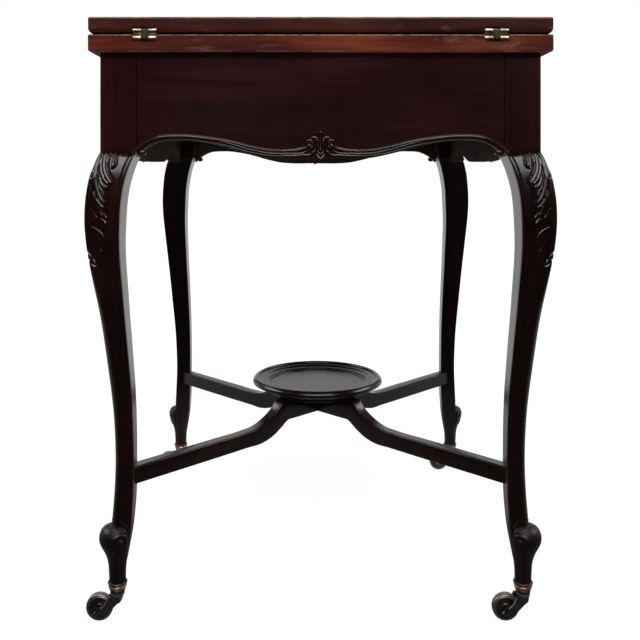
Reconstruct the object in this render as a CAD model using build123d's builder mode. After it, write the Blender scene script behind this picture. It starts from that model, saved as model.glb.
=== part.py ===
from build123d import *
import os
from math import cos, radians, sin, sqrt

# Envelope card table. Lengths are in millimetres. It stands on the floor at z = 0, its front faces -Y
# and its middle is over the origin. The castors trail towards -X.

# Overall sizes
table_height = 741.0
top_side = 560.0
top_overhang = 11.7
leaf_thick = 21.0

# Clearances that several pieces share
running_clearance = 0.05
inlay_clearance = 0.15
top_clearance = 0.4
cut_overrun = 5.0

# Link hinges: two pins a pitch apart, one in each leaf
hinge_pitch = 9.0
closed_gap = 0.2
opened_gap = 0.3
hinge_corner_reach = 68.0
hinge_width = 28.0
link_width = 9.0
link_side_clearance = 0.2
plate_length = 32.0
plate_thick = 1.8
plate_sink = 0.1
hinge_pin_radius = 1.5
hinge_screw_head_radius = 3.0
hinge_screw_shank_radius = 1.5
hinge_screw_head_depth = 1.5
hinge_screw_length = 12.0
hinge_screw_inset = 21.0
hinge_screw_spacing = 16.0

# Leaves of the top
leaf_nose_radius = 1.8
leaf_foot_radius = 3.0
nose_clearance = 0.6
flap_rim_radius = 2.5
flap_seam = 0.9
baize_thick = 1.0
baize_sink = 0.1
baize_hinge_border = 38.0
baize_seam_border = 26.0

# Frame
post_side = 44.0
post_height = 118.4
rail_thick = 22.0
rail_depth = 128.1
arch_rise = 22.5
tenon_thick = 10.0
tenon_length = 18.0
tenon_shoulder = 12.0
bead_height = 7.5
bead_proud = 1.4
cartouche_width = 36.0
cartouche_height = 31.0
cartouche_proud = 4.0
block_reach = 62.0
block_height = 18.0
block_drop = 20.0

# Serpentine lower edge of a rail, from the post to the middle: share of the half length from the middle,
# share of the arch's rise
serpentine_shares = [
    (1.0, 0.08),
    (0.955, 0.50),
    (0.90, 0.82),
    (0.765, 1.0),
    (0.57, 0.76),
    (0.385, 0.265),
    (0.29, 0.065),
    (0.20, 0.0),
]

# Cabriole leg: bulge of the outer line beyond the post and tuck of the inner line from the post, each at a
# share of the post's lower end above the floor
knee_bulge = 15.7
inner_tuck = 17.7
foot_inset = 17.3
outer_line_shares = [
    (0.914, 0.87),
    (0.862, 1.0),
    (0.781, 0.69),
    (0.688, 0.15),
    (0.559, -0.40),
    (0.427, -0.86),
]
ankle_line_shares = [(0.32, -0.95), (0.216, -0.73), (0.16, -0.62)]
inner_line_shares = [
    (0.16, 0.67),
    (0.241, 0.42),
    (0.345, 0.36),
    (0.459, 0.42),
    (0.68, 0.83),
    (0.83, 1.0),
    (0.938, 0.68),
]
foot_peg_radius = 7.9
foot_neck_radius = 9.5
scroll_radius = 13.8
scroll_width = 30.0
scroll_z = 107.5
scroll_reach = 4.2
scroll_toe_z = 64.0
scroll_crown = 1.5

# Square end of the leg turning into the round neck of the foot: at a share of the way down, share of the
# way from the leg's axis to the neck's, share of the way from the leg's width to the neck's, roundness
foot_blend_shares = [
    (0.0, 0.0, 0.0, 0.12),
    (0.42, 0.78, 0.30, 0.70),
    (0.72, 0.95, 0.82, 0.96),
    (1.0, 1.0, 1.0, 0.99),
]

# Castor
wheel_radius = 16.5
wheel_width = 11.0
wheel_rim_depth = 4.0
wheel_web_thick = 6.0
wheel_hub_radius = 5.0
castor_trail = 22.0
axle_radius = 2.0
axle_head_radius = 3.4
axle_head_thick = 1.2
stem_radius = 3.5
stem_length = 26.0
horn_cheek_thick = 2.6
horn_side_clearance = 0.6
horn_boss_radius = 5.5
horn_shoulder_radius = 8.6
horn_shoulder_thick = 2.6
horn_heel_radius = 4.5
horn_heel_offset = 1.2
horn_heel_z = 24.5
horn_front_clearance = 1.0
thrust_clearance = 0.1
socket_bottom_z = 35.0
socket_base_thick = 2.0
socket_height = 12.5
socket_wall = 1.2
socket_bead_height = 3.2
socket_bead_proud = 1.2

# Swivelling top
bearer_width = 96.0
bearer_thick = 20.0
bearer_housing = 6.0
pivot_radius = 6.0
pivot_head_radius = 14.0
pivot_head_thick = 3.0
pivot_bore_clearance = 0.05
washer_radius = 17.0
washer_thick = 2.5
washer_clearance = 0.2
nut_radius = 11.0
nut_thick = 8.0
pivot_tail = 3.0
swivel_angle = 45
stop_radius = 5.0
stop_orbit = 33.0
stop_clearance = 0.3
stop_seat_depth = 9.0

# Stretcher and dish
stretcher_width = 17.0
stretcher_low_z = 163.5
stretcher_depth = 22.0
hub_low_z = 186.0
dowel_radius = 4.0
dowel_length = 11.0
hub_reach = 70.0
rise_reach = 120.0
crest_reach = 80.0
fall_reach = 150.0
dish_seat_z = 217.0
dish_radius = 99.8
dish_height = 22.0
dish_floor_thick = 12.0
dish_floor_radius = 73.0
dish_base_radius = 74.0
dish_base_band = 3.5
dish_lip_radius = 3.2
dish_step = 3.0
dish_screw_radius = 2.2
dish_screw_head_radius = 4.2
dish_screw_head_depth = 2.2
dish_screw_bite = 8.0
dish_screw_offset = 32.0

# Double curve of a stretcher's lower and upper edge: share of the way along, share of the rise
rise_shares = [(0.3, 0.41), (0.58, 0.74)]
crest_shares = [(0.31, 0.06), (0.61, 0.30), (0.84, 0.62)]

# Heights and places worked out from the sizes above
flap_under_z = table_height - leaf_thick
leaf_top_z = flap_under_z - closed_gap
leaf_under_z = leaf_top_z - leaf_thick
frame_top_z = leaf_under_z - top_clearance
post_bottom_z = frame_top_z - post_height
rail_low_z = frame_top_z - rail_depth
top_half = top_side / 2
frame_half = top_half - top_overhang
hinge_offset = top_half - hinge_corner_reach
post_inner = frame_half - post_side
rail_inner = frame_half - rail_thick
foot_center = frame_half - foot_inset
pin_inset = (hinge_pitch - opened_gap) / 2
pin_depth = (hinge_pitch - closed_gap) / 2
pin_y = -top_half + pin_inset
leaf_pin_z = leaf_top_z - pin_depth
flap_pin_z = leaf_pin_z + hinge_pitch
barrel_radius = hinge_pitch / 2 - inlay_clearance
knuckle_width = (hinge_width - link_width) / 2 - link_side_clearance
knuckle_offset = (hinge_width - knuckle_width) / 2
flap_nose_radius = hinge_pitch + nose_clearance - leaf_nose_radius
bearer_low_z = frame_top_z - bearer_thick

sides = ["front", "right", "back", "left"]
corners = ["back_right", "back_left", "front_left", "front_right"]
hinge_places = [(-hinge_offset, 0, 0), (hinge_offset, 0, 0)]

os.makedirs("parts", exist_ok=True)


# Plate of a hinge on the front side, flush in the base leaf, with two barrels round the pin
with BuildPart() as leaf_plate:
    with BuildSketch(Plane.XY.offset(leaf_top_z - plate_sink - plate_thick)):
        with Locations((0, -top_half + (plate_length + pin_inset) / 2)):
            Rectangle(hinge_width, plate_length - pin_inset)
        with Locations((0, pin_y)):
            Rectangle(link_width + 2 * link_side_clearance, hinge_pitch, mode=Mode.SUBTRACT)
    extrude(amount=plate_thick)
    with Locations((-knuckle_offset, pin_y, leaf_pin_z), (knuckle_offset, pin_y, leaf_pin_z)):
        Cylinder(barrel_radius, knuckle_width, rotation=(0, 90, 0))
    with Locations((0, pin_y, leaf_pin_z)):
        Cylinder(hinge_pin_radius + running_clearance, top_side, rotation=(0, 90, 0), mode=Mode.SUBTRACT)

# Countersunk wood screw of a hinge plate, its head down from the origin
with BuildPart() as hinge_screw:
    with BuildSketch(Plane.XZ):
        with BuildLine():
            Polyline(
                (0, 0),
                (hinge_screw_head_radius, 0),
                (hinge_screw_shank_radius, -hinge_screw_head_depth),
                (hinge_screw_shank_radius, -hinge_screw_length + hinge_screw_shank_radius),
                (0, -hinge_screw_length),
                close=True,
            )
        make_face()
    revolve(axis=Axis.Z)

screw_y = -top_half + hinge_screw_inset
screw_places = [(-hinge_screw_spacing / 2, screw_y, 0), (hinge_screw_spacing / 2, screw_y, 0)]

# Screws of one hinge in the base leaf
with BuildPart() as leaf_screw_pair:
    with Locations((0, 0, leaf_top_z - plate_sink)):
        with Locations(*screw_places):
            add(hinge_screw.part)

# The pocket that a hinge needs in the base leaf: shallow under the plate, deep round barrels and link
with BuildPart() as leaf_pocket:
    with BuildSketch(Plane.XY.offset(leaf_top_z - plate_sink - plate_thick)):
        with Locations((0, -top_half + (plate_length - cut_overrun) / 2)):
            Rectangle(hinge_width + 2 * inlay_clearance, plate_length + cut_overrun)
    extrude(amount=plate_thick + cut_overrun)
    with BuildSketch(Plane.XY.offset(leaf_pin_z - hinge_pitch / 2)):
        with Locations((0, pin_y + (hinge_pitch - cut_overrun) / 2 - pin_inset)):
            Rectangle(hinge_width + 2 * inlay_clearance, hinge_pitch + cut_overrun)
    extrude(amount=hinge_pitch / 2 + pin_depth + cut_overrun)

# The same pieces in a closed flap lie upside down, mirrored in the plane halfway between the pins
pin_mirror = Plane.XY.offset((leaf_pin_z + flap_pin_z) / 2)
with BuildPart() as flap_plate:
    mirror(leaf_plate.part, about=pin_mirror)
with BuildPart() as flap_screw_pair:
    mirror(leaf_screw_pair.part, about=pin_mirror)
with BuildPart() as flap_pocket:
    mirror(leaf_pocket.part, about=pin_mirror)

# All the hinge plates and screws of the base leaf
with BuildPart() as hinge_base_plates:
    with PolarLocations(0, len(sides)):
        with Locations(*hinge_places):
            add(leaf_plate.part)
    with PolarLocations(0, len(sides)):
        with Locations(*hinge_places):
            add(leaf_screw_pair.part, mode=Mode.SUBTRACT)
hinge_base_plates.part.label = "hinge_base_plates"
export_step(hinge_base_plates.part, "parts/hinge_base_plates.step")

with BuildPart() as hinge_base_screws:
    with PolarLocations(0, len(sides)):
        with Locations(*hinge_places):
            add(leaf_screw_pair.part)
hinge_base_screws.part.label = "hinge_base_screws"
export_step(hinge_base_screws.part, "parts/hinge_base_screws.step")

# Pivot bolt of the swivelling top, its head let in under the baize
baize_floor_z = leaf_top_z - baize_sink - baize_thick
washer_top_z = bearer_low_z - washer_clearance
nut_top_z = washer_top_z - washer_thick
with BuildPart() as pivot_bolt:
    with BuildSketch(Plane.XY.offset(baize_floor_z - pivot_head_thick)):
        Circle(pivot_head_radius)
    extrude(amount=pivot_head_thick)
    with BuildSketch(Plane.XY.offset(nut_top_z - nut_thick - pivot_tail)):
        Circle(pivot_radius)
    extrude(until=Until.LAST)
pivot_bolt.part.label = "pivot_bolt"
export_step(pivot_bolt.part, "parts/pivot_bolt.step")

with BuildPart() as pivot_washer:
    with BuildSketch(Plane.XY.offset(nut_top_z)):
        Circle(washer_radius)
        Circle(pivot_radius + running_clearance, mode=Mode.SUBTRACT)
    extrude(amount=washer_thick)
pivot_washer.part.label = "pivot_washer"
export_step(pivot_washer.part, "parts/pivot_washer.step")

with BuildPart() as pivot_nut:
    with BuildSketch(Plane.XY.offset(nut_top_z - nut_thick)):
        RegularPolygon(nut_radius, 6)
        Circle(pivot_radius, mode=Mode.SUBTRACT)
    extrude(amount=nut_thick)
pivot_nut.part.label = "pivot_nut"
export_step(pivot_nut.part, "parts/pivot_nut.step")

# Stop peg under the base leaf. It runs in a curved slot of the bearer, a swivel's angle long
slot_radius = stop_radius + stop_clearance
slot_start = -swivel_angle / 2
stop_x = stop_orbit * cos(radians(slot_start))
stop_y = stop_orbit * sin(radians(slot_start))
with BuildPart() as swivel_stop:
    with BuildSketch(Plane.XY.offset(bearer_low_z)):
        with Locations((stop_x, stop_y)):
            Circle(stop_radius)
    extrude(amount=bearer_thick + top_clearance + stop_seat_depth)
swivel_stop.part.label = "swivel_stop"
export_step(swivel_stop.part, "parts/swivel_stop.step")

# Base leaf: a square board, rounded a little at its rim, with its inlays cut in
with BuildPart() as base_leaf:
    with BuildSketch(Plane.XY.offset(leaf_under_z)):
        Rectangle(top_side, top_side)
    extrude(amount=leaf_thick)
    fillet(base_leaf.faces().sort_by(Axis.Z)[-1].edges(), leaf_nose_radius)
    fillet(base_leaf.faces().sort_by(Axis.Z)[0].edges(), leaf_foot_radius)
    with BuildSketch(Plane.XY.offset(baize_floor_z)):
        Rectangle(top_side - 2 * baize_hinge_border, top_side - 2 * baize_hinge_border)
    extrude(amount=cut_overrun, mode=Mode.SUBTRACT)
    with PolarLocations(0, len(sides)):
        with Locations(*hinge_places):
            add(leaf_pocket.part, mode=Mode.SUBTRACT)
    add(hinge_base_screws.part, mode=Mode.SUBTRACT)
    add(pivot_bolt.part, mode=Mode.SUBTRACT)
    add(swivel_stop.part, mode=Mode.SUBTRACT)
base_leaf.part.label = "base_leaf"
export_step(base_leaf.part, "parts/base_leaf.step")

with BuildPart() as base_baize:
    with BuildSketch(Plane.XY.offset(baize_floor_z)):
        baize_side = top_side - 2 * baize_hinge_border - 2 * inlay_clearance
        Rectangle(baize_side, baize_side)
    extrude(amount=baize_thick)
base_baize.part.label = "base_baize"
export_step(base_baize.part, "parts/base_baize.step")

# Front flap: a triangle with its point at the middle, held back from its neighbours by half a seam
seam_shift = flap_seam / 2 * sqrt(2)
with BuildPart() as flap_blank:
    with BuildSketch(Plane.XY.offset(flap_under_z)):
        with BuildLine():
            Polyline(
                (-top_half + seam_shift, -top_half),
                (top_half - seam_shift, -top_half),
                (0, -seam_shift),
                close=True,
            )
        make_face()
    extrude(amount=leaf_thick)
    hinge_side_edges = flap_blank.faces().sort_by(Axis.Y)[0].edges().filter_by(Axis.X).sort_by(Axis.Z)
    fillet(hinge_side_edges[0], flap_nose_radius)
    fillet(hinge_side_edges[-1], flap_rim_radius)

# Outline of a flap's baize: a wide border at the hinges, a narrower one along the seams
baize_base_y = -top_half + baize_hinge_border
baize_tip_y = -seam_shift - baize_seam_border * sqrt(2)
with BuildPart() as flap_baize_blank:
    with BuildSketch(Plane.XY.offset(flap_under_z + baize_sink)):
        with BuildLine():
            Polyline(
                (baize_base_y - baize_tip_y, baize_base_y),
                (-baize_base_y + baize_tip_y, baize_base_y),
                (0, baize_tip_y),
                close=True,
            )
        make_face()
    extrude(amount=baize_thick)

with BuildPart() as flap_recess:
    with BuildSketch(Plane.XY.offset(flap_under_z - cut_overrun)):
        add(flap_baize_blank.faces().sort_by(Axis.Z)[0].moved(Location((0, 0, -flap_under_z - baize_sink))))
        offset(amount=inlay_clearance, kind=Kind.INTERSECTION)
    extrude(amount=cut_overrun + baize_sink + baize_thick)

with BuildPart() as flap_master:
    add(flap_blank.part)
    add(flap_recess.part, mode=Mode.SUBTRACT)
    with Locations(*hinge_places):
        add(flap_pocket.part, mode=Mode.SUBTRACT)
    with Locations(*hinge_places):
        add(flap_screw_pair.part, mode=Mode.SUBTRACT)

# Link between the two pins of a hinge: a flat bar with round ends
with BuildPart() as link_blank:
    with BuildSketch(Plane.YZ.offset(-link_width / 2)):
        with Locations((pin_y, (leaf_pin_z + flap_pin_z) / 2)):
            SlotCenterToCenter(hinge_pitch, 2 * barrel_radius, rotation=90)
        with Locations((pin_y, leaf_pin_z), (pin_y, flap_pin_z)):
            Circle(hinge_pin_radius, mode=Mode.SUBTRACT)
    extrude(amount=link_width)

with BuildPart() as pin_pair:
    with Locations((0, pin_y, leaf_pin_z), (0, pin_y, flap_pin_z)):
        Cylinder(hinge_pin_radius, hinge_width, rotation=(0, 90, 0))

# Flaps, their baize and their hinges, one set for each side
for turn, side in enumerate(sides):
    side_turn = (0, 0, 360 * turn / len(sides))

    with BuildPart() as flap:
        add(flap_master.part, rotation=side_turn)
    flap.part.label = f"flap_{side}"
    export_step(flap.part, f"parts/flap_{side}.step")

    with BuildPart() as flap_baize:
        add(flap_baize_blank.part, rotation=side_turn)
    flap_baize.part.label = f"flap_baize_{side}"
    export_step(flap_baize.part, f"parts/flap_baize_{side}.step")

    with BuildPart() as hinge_flap_plates:
        with Locations(Rotation(*side_turn)):
            with Locations(*hinge_places):
                add(flap_plate.part)
        with Locations(Rotation(*side_turn)):
            with Locations(*hinge_places):
                add(flap_screw_pair.part, mode=Mode.SUBTRACT)
    hinge_flap_plates.part.label = f"hinge_flap_plates_{side}"
    export_step(hinge_flap_plates.part, f"parts/hinge_flap_plates_{side}.step")

    with BuildPart() as hinge_flap_screws:
        with Locations(Rotation(*side_turn)):
            with Locations(*hinge_places):
                add(flap_screw_pair.part)
    hinge_flap_screws.part.label = f"hinge_flap_screws_{side}"
    export_step(hinge_flap_screws.part, f"parts/hinge_flap_screws_{side}.step")

    with BuildPart() as hinge_links:
        with Locations(Rotation(*side_turn)):
            with Locations(*hinge_places):
                add(link_blank.part)
    hinge_links.part.label = f"hinge_links_{side}"
    export_step(hinge_links.part, f"parts/hinge_links_{side}.step")

    with BuildPart() as hinge_pins:
        with Locations(Rotation(*side_turn)):
            with Locations(*hinge_places):
                add(pin_pair.part)
    hinge_pins.part.label = f"hinge_pins_{side}"
    export_step(hinge_pins.part, f"parts/hinge_pins_{side}.step")


# Lines of the leg in one upright plane, as points (distance from the middle, height)
def leg_points(start, reach, shares):
    return [(start + reach * out, post_bottom_z * up) for up, out in shares]


outer_points = leg_points(frame_half, knee_bulge, outer_line_shares + ankle_line_shares)
inner_points = leg_points(post_inner, inner_tuck, inner_line_shares)
foot_bottom_z = socket_bottom_z + socket_base_thick
scroll_top_z = scroll_z + scroll_radius

# Scroll of the foot, seen along the diagonal: a roll that runs down into the toe
diagonal = Plane(origin=(foot_center, foot_center, 0), x_dir=(1, 1, 0), z_dir=(1, -1, 0))
across = Plane(origin=(foot_center, foot_center, 0), x_dir=(1, -1, 0), z_dir=(-1, -1, 0))
scroll_start = -35
scroll_sweep = 155
roll_end = (sin(radians(scroll_start)), -cos(radians(scroll_start)))
with BuildPart() as foot_scroll:
    with BuildSketch(diagonal):
        with BuildLine():
            roll = CenterArc((scroll_reach, scroll_z), scroll_radius, scroll_start, scroll_sweep)
            toe = Spline(roll @ 0, (foot_neck_radius, scroll_toe_z), tangents=(roll_end, (0, -1)))
            Polyline(roll @ 1, (0, (roll @ 1).Y), (0, scroll_toe_z), toe @ 1)
        make_face()
    extrude(amount=scroll_width / 2, both=True)
    with BuildSketch(across):
        with BuildLine():
            right_side = Polyline(
                (foot_neck_radius, scroll_toe_z),
                (scroll_width / 2, scroll_z - scroll_radius / 2),
                (scroll_width / 2, scroll_z + scroll_radius / 2),
            )
            crown = ThreePointArc(
                right_side @ 1,
                (0, scroll_top_z + scroll_crown),
                (-scroll_width / 2, scroll_z + scroll_radius / 2),
            )
            left_low = (-scroll_width / 2, scroll_z - scroll_radius / 2)
            Polyline(crown @ 1, left_low, (-foot_neck_radius, scroll_toe_z))
            Line((-foot_neck_radius, scroll_toe_z), (foot_neck_radius, scroll_toe_z))
        make_face()
    extrude(amount=2 * scroll_width, both=True, mode=Mode.INTERSECT)

# Foot under the scroll, from the leg's square end to the neck, with the tapered peg that the socket holds
socket_top_z = socket_bottom_z + socket_height
leg_end_z = inner_points[0][1]
leg_end_side = outer_points[-1][0] - inner_points[0][0]
leg_end_center = (outer_points[-1][0] + inner_points[0][0]) / 2
with BuildPart() as foot_shaft:
    for down, inward, narrowed, roundness in foot_blend_shares:
        blend_center = leg_end_center + (foot_center - leg_end_center) * inward
        blend_side = leg_end_side + (2 * foot_neck_radius - leg_end_side) * narrowed
        with BuildSketch(Plane.XY.offset(leg_end_z + (socket_top_z - leg_end_z) * down)):
            with Locations((blend_center, blend_center)):
                RectangleRounded(blend_side, blend_side, blend_side / 2 * roundness)
    loft()

with BuildPart() as foot_peg:
    with BuildSketch(Plane.XZ):
        with BuildLine():
            Polyline(
                (0, foot_bottom_z),
                (foot_peg_radius, foot_bottom_z),
                (foot_neck_radius, socket_top_z),
                (0, socket_top_z),
                close=True,
            )
        make_face()
    revolve(axis=Axis.Z)

# Tenons of the two rails that meet in the back right post
rail_axis = frame_half - rail_thick / 2
tenon_low_z = post_bottom_z + tenon_shoulder
tenon_high_z = frame_top_z - tenon_shoulder
with BuildPart() as tenon_pair:
    with BuildSketch(Plane.XY.offset(tenon_low_z)):
        with Locations((post_inner + tenon_length / 2, rail_axis)):
            Rectangle(tenon_length, tenon_thick)
        with Locations((rail_axis, post_inner + tenon_length / 2)):
            Rectangle(tenon_thick, tenon_length)
    extrude(amount=tenon_high_z - tenon_low_z)

# Leg at the back right: post, knee, ankle and foot in one piece, square in section, from two crossed profiles
with BuildPart() as leg_master:
    for upright, how in ((Plane.XZ, Mode.ADD), (Plane.YZ, Mode.INTERSECT)):
        with BuildSketch(upright):
            with BuildLine():
                Line((post_inner, frame_top_z), (frame_half, frame_top_z))
                Line((frame_half, frame_top_z), (frame_half, post_bottom_z))
                outer_line = Spline((frame_half, post_bottom_z), *outer_points)
                Line(outer_line @ 1, inner_points[0])
                Spline(*inner_points, (post_inner, post_bottom_z))
                Line((post_inner, post_bottom_z), (post_inner, frame_top_z))
            make_face()
        extrude(amount=top_side, both=True, mode=how)
    add(foot_scroll.part)
    add(foot_shaft.part)
    with Locations((foot_center, foot_center, 0)):
        add(foot_peg.part)
    with Locations((foot_center, foot_center, foot_bottom_z + (stem_length + cut_overrun) / 2)):
        Cylinder(stem_radius + running_clearance, stem_length + cut_overrun, mode=Mode.SUBTRACT)
    add(tenon_pair.part, mode=Mode.SUBTRACT)

# Dowels at the two ends of a stretcher bar, in the plane of the diagonal
diagonal_a = Plane(origin=(0, 0, 0), x_dir=(1, 1, 0), z_dir=(1, -1, 0))
leg_corner = post_inner + inner_tuck * inner_line_shares[3][1]
leg_corner_reach = leg_corner * sqrt(2)
dowel_z = stretcher_low_z + stretcher_depth / 2
dowel_start = leg_corner - dowel_length
with BuildPart() as dowel_ends:
    with BuildSketch(Plane(origin=(dowel_start, dowel_start, dowel_z), x_dir=(0, 0, 1), z_dir=(1, 1, 0))):
        Circle(dowel_radius)
    extrude(amount=leg_corner_reach + dowel_length - dowel_start * sqrt(2))
    mirror(about=Plane(origin=(0, 0, 0), z_dir=(1, 1, 0)))

for turn, corner in enumerate(corners):
    with BuildPart() as leg:
        add(leg_master.part, rotation=(0, 0, 360 * turn / len(corners)))
        add(dowel_ends.part, rotation=(0, 0, 90 * (turn % 2)), mode=Mode.SUBTRACT)
    leg.part.label = f"leg_{corner}"
    export_step(leg.part, f"parts/leg_{corner}.step")

# Bearer under the top, housed in the side rails, with the pivot's bore and the stop's curved slot
bearer_half = rail_inner + bearer_housing
with BuildPart() as swivel_bearer:
    with BuildSketch(Plane.XY.offset(bearer_low_z)):
        Rectangle(2 * bearer_half, bearer_width)
        Circle(pivot_radius + pivot_bore_clearance, mode=Mode.SUBTRACT)
        with BuildLine(mode=Mode.PRIVATE):
            stop_path = CenterArc((0, 0), stop_orbit, slot_start, swivel_angle)
        SlotArc(stop_path, 2 * slot_radius, mode=Mode.SUBTRACT)
    extrude(amount=bearer_thick)
swivel_bearer.part.label = "swivel_bearer"
export_step(swivel_bearer.part, "parts/swivel_bearer.step")

# Front rail: the serpentine board with its raised bead, its cartouche and a tenon at each end
serpentine_points = [(post_inner * along, rail_low_z + arch_rise * up) for along, up in serpentine_shares]
with BuildPart() as rail_master:
    with BuildSketch(Plane.XZ.offset(rail_inner)):
        with BuildLine():
            lower_edge = Spline(*serpentine_points, tangents=((-1, 1.6), (-1, 0)))
            Line(lower_edge @ 1, (0, rail_low_z))
            Line((0, rail_low_z), (0, frame_top_z))
            Line((0, frame_top_z), (post_inner, frame_top_z))
            Line((post_inner, frame_top_z), lower_edge @ 0)
        make_face()
        mirror(about=Plane.YZ)
    extrude(amount=rail_thick)
    with BuildSketch(Plane.XZ.offset(frame_half)):
        with BuildLine():
            band_low = Spline(*serpentine_points, tangents=((-1, 1.6), (-1, 0)))
            band_points = [(x, z + bead_height) for x, z in serpentine_points]
            band_high = Spline(*band_points, tangents=((-1, 1.6), (-1, 0)))
            Line(band_low @ 0, band_high @ 0)
            Line(band_low @ 1, (0, rail_low_z))
            Line((0, rail_low_z), (0, rail_low_z + bead_height))
            Line((0, rail_low_z + bead_height), band_high @ 1)
        make_face()
        mirror(about=Plane.YZ)
    extrude(amount=bead_proud)
    with BuildSketch(Plane.XZ.offset(frame_half)):
        with Locations((0, rail_low_z + cartouche_height / 2)):
            Ellipse(cartouche_width / 2, cartouche_height / 2)
    extrude(amount=cartouche_proud)
    with BuildSketch(Plane.XY.offset(tenon_low_z)):
        with Locations((0, -rail_axis)):
            Rectangle(2 * (post_inner + tenon_length), tenon_thick)
    extrude(amount=tenon_high_z - tenon_low_z)

for turn, side in enumerate(sides):
    with BuildPart() as rail:
        add(rail_master.part, rotation=(0, 0, 360 * turn / len(sides)))
        add(swivel_bearer.part, mode=Mode.SUBTRACT)
    rail.part.label = f"rail_{side}"
    export_step(rail.part, f"parts/rail_{side}.step")

# Glue blocks that brace the rails round the inner corner of each post
block_low_z = frame_top_z - block_drop - block_height
with BuildPart() as corner_blocks:
    with BuildSketch(Plane.XY.offset(block_low_z)):
        with BuildLine():
            Polyline(
                (post_inner, post_inner),
                (rail_inner, post_inner),
                (rail_inner, rail_inner - block_reach),
                (rail_inner - block_reach, rail_inner),
                (post_inner, rail_inner),
                close=True,
            )
        make_face()
    extrude(amount=block_height)
    add(corner_blocks.part, rotation=(0, 0, 90))
    add(corner_blocks.part, rotation=(0, 0, 180))
corner_blocks.part.label = "corner_blocks"
export_step(corner_blocks.part, "parts/corner_blocks.step")

# Screws that hold the dish on the hub, from below
with BuildPart() as dish_screw:
    with BuildSketch(Plane.XZ):
        with BuildLine():
            Polyline(
                (0, hub_low_z),
                (dish_screw_head_radius, hub_low_z),
                (dish_screw_radius, hub_low_z + dish_screw_head_depth),
                (dish_screw_radius, dish_seat_z + dish_screw_bite - dish_screw_radius),
                (0, dish_seat_z + dish_screw_bite),
                close=True,
            )
        make_face()
    revolve(axis=Axis.Z)

with BuildPart() as dish_screws:
    with PolarLocations(dish_screw_offset, 2, start_angle=45):
        add(dish_screw.part)
dish_screws.part.label = "dish_screws"
export_step(dish_screws.part, "parts/dish_screws.step")

# One stretcher bar, seen from the side: low at the legs, rising in a double curve to the hub
bar_end = leg_corner_reach + stretcher_width / 2
stretcher_top_z = stretcher_low_z + stretcher_depth
rise_length = rise_reach - hub_reach
rise_height = hub_low_z - stretcher_low_z
rise_points = [
    (hub_reach + rise_length * along, hub_low_z - rise_height * down)
    for along, down in rise_shares
]
crest_length = fall_reach - crest_reach
crest_height = dish_seat_z - stretcher_top_z
crest_points = [
    (fall_reach - crest_length * along, stretcher_top_z + crest_height * up)
    for along, up in crest_shares
]
with BuildPart() as bar_blank:
    with BuildSketch(diagonal_a):
        with BuildLine():
            Line((0, hub_low_z), (hub_reach, hub_low_z))
            Spline(
                (hub_reach, hub_low_z),
                *rise_points,
                (rise_reach, stretcher_low_z),
                tangents=((1, -0.6), (1, 0)),
            )
            Line((rise_reach, stretcher_low_z), (bar_end, stretcher_low_z))
            Line((bar_end, stretcher_low_z), (bar_end, stretcher_top_z))
            Line((bar_end, stretcher_top_z), (fall_reach, stretcher_top_z))
            Spline(
                (fall_reach, stretcher_top_z),
                *crest_points,
                (crest_reach, dish_seat_z),
                tangents=((-1, 0), (-1, 1)),
            )
            Line((crest_reach, dish_seat_z), (0, dish_seat_z))
            Line((0, dish_seat_z), (0, hub_low_z))
        make_face()
    extrude(amount=stretcher_width / 2, both=True)
    mirror(about=Plane(origin=(0, 0, 0), z_dir=(1, 1, 0)))

halving_z = (hub_low_z + dish_seat_z) / 2
halving_height = dish_seat_z - hub_low_z
for turn, (bar_name, halving_side) in enumerate((("a", 1), ("b", -1))):
    with BuildPart() as stretcher:
        add(bar_blank.part, rotation=(0, 0, 90 * turn))
        with Locations(Location((0, 0, halving_z + halving_side * halving_height / 2), (0, 0, 45))):
            Box(stretcher_width, stretcher_width, halving_height, mode=Mode.SUBTRACT)
        with PolarLocations(0, len(corners)):
            add(leg_master.part, mode=Mode.SUBTRACT)
        add(dowel_ends.part, rotation=(0, 0, 90 * turn))
        add(dish_screws.part, mode=Mode.SUBTRACT)
    stretcher.part.label = f"stretcher_diagonal_{bar_name}"
    export_step(stretcher.part, f"parts/stretcher_diagonal_{bar_name}.step")

# Turned dish: base, swept underside, round rim, stepped moulding down to a flat floor
dish_top_z = dish_seat_z + dish_height
dish_floor_z = dish_seat_z + dish_floor_thick
rim_z = dish_top_z - 2 * dish_lip_radius
crest_radius = dish_radius - 2 * dish_lip_radius
with BuildPart() as dish:
    with BuildSketch(Plane.XZ):
        with BuildLine():
            Line((0, dish_seat_z), (dish_base_radius, dish_seat_z))
            band = Line((dish_base_radius, dish_seat_z), (dish_base_radius, dish_seat_z + dish_base_band))
            under = SagittaArc(band @ 1, (dish_radius - dish_lip_radius, rim_z - dish_lip_radius), -dish_step)
            Line(under @ 1, (dish_radius, rim_z - dish_lip_radius))
            side = Line((dish_radius, rim_z - dish_lip_radius), (dish_radius, rim_z))
            lip = RadiusArc(side @ 1, (crest_radius, dish_top_z), -2 * dish_lip_radius)
            inner_lip = RadiusArc(
                lip @ 1,
                (crest_radius - dish_lip_radius, dish_top_z - dish_lip_radius),
                -dish_lip_radius,
            )
            cove_end = (dish_floor_radius + 2 * dish_step, dish_floor_z + dish_step)
            cove = SagittaArc(inner_lip @ 1, cove_end, -dish_step / 2)
            Polyline(
                cove @ 1,
                (dish_floor_radius + dish_step, dish_floor_z + dish_step),
                (dish_floor_radius + dish_step, dish_floor_z + dish_step / 2),
                (dish_floor_radius, dish_floor_z + dish_step / 2),
                (dish_floor_radius, dish_floor_z),
                (0, dish_floor_z),
                (0, dish_seat_z),
            )
        make_face()
    revolve(axis=Axis.Z)
    add(dish_screws.part, mode=Mode.SUBTRACT)
dish.part.label = "dish"
export_step(dish.part, "parts/dish.step")

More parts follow.
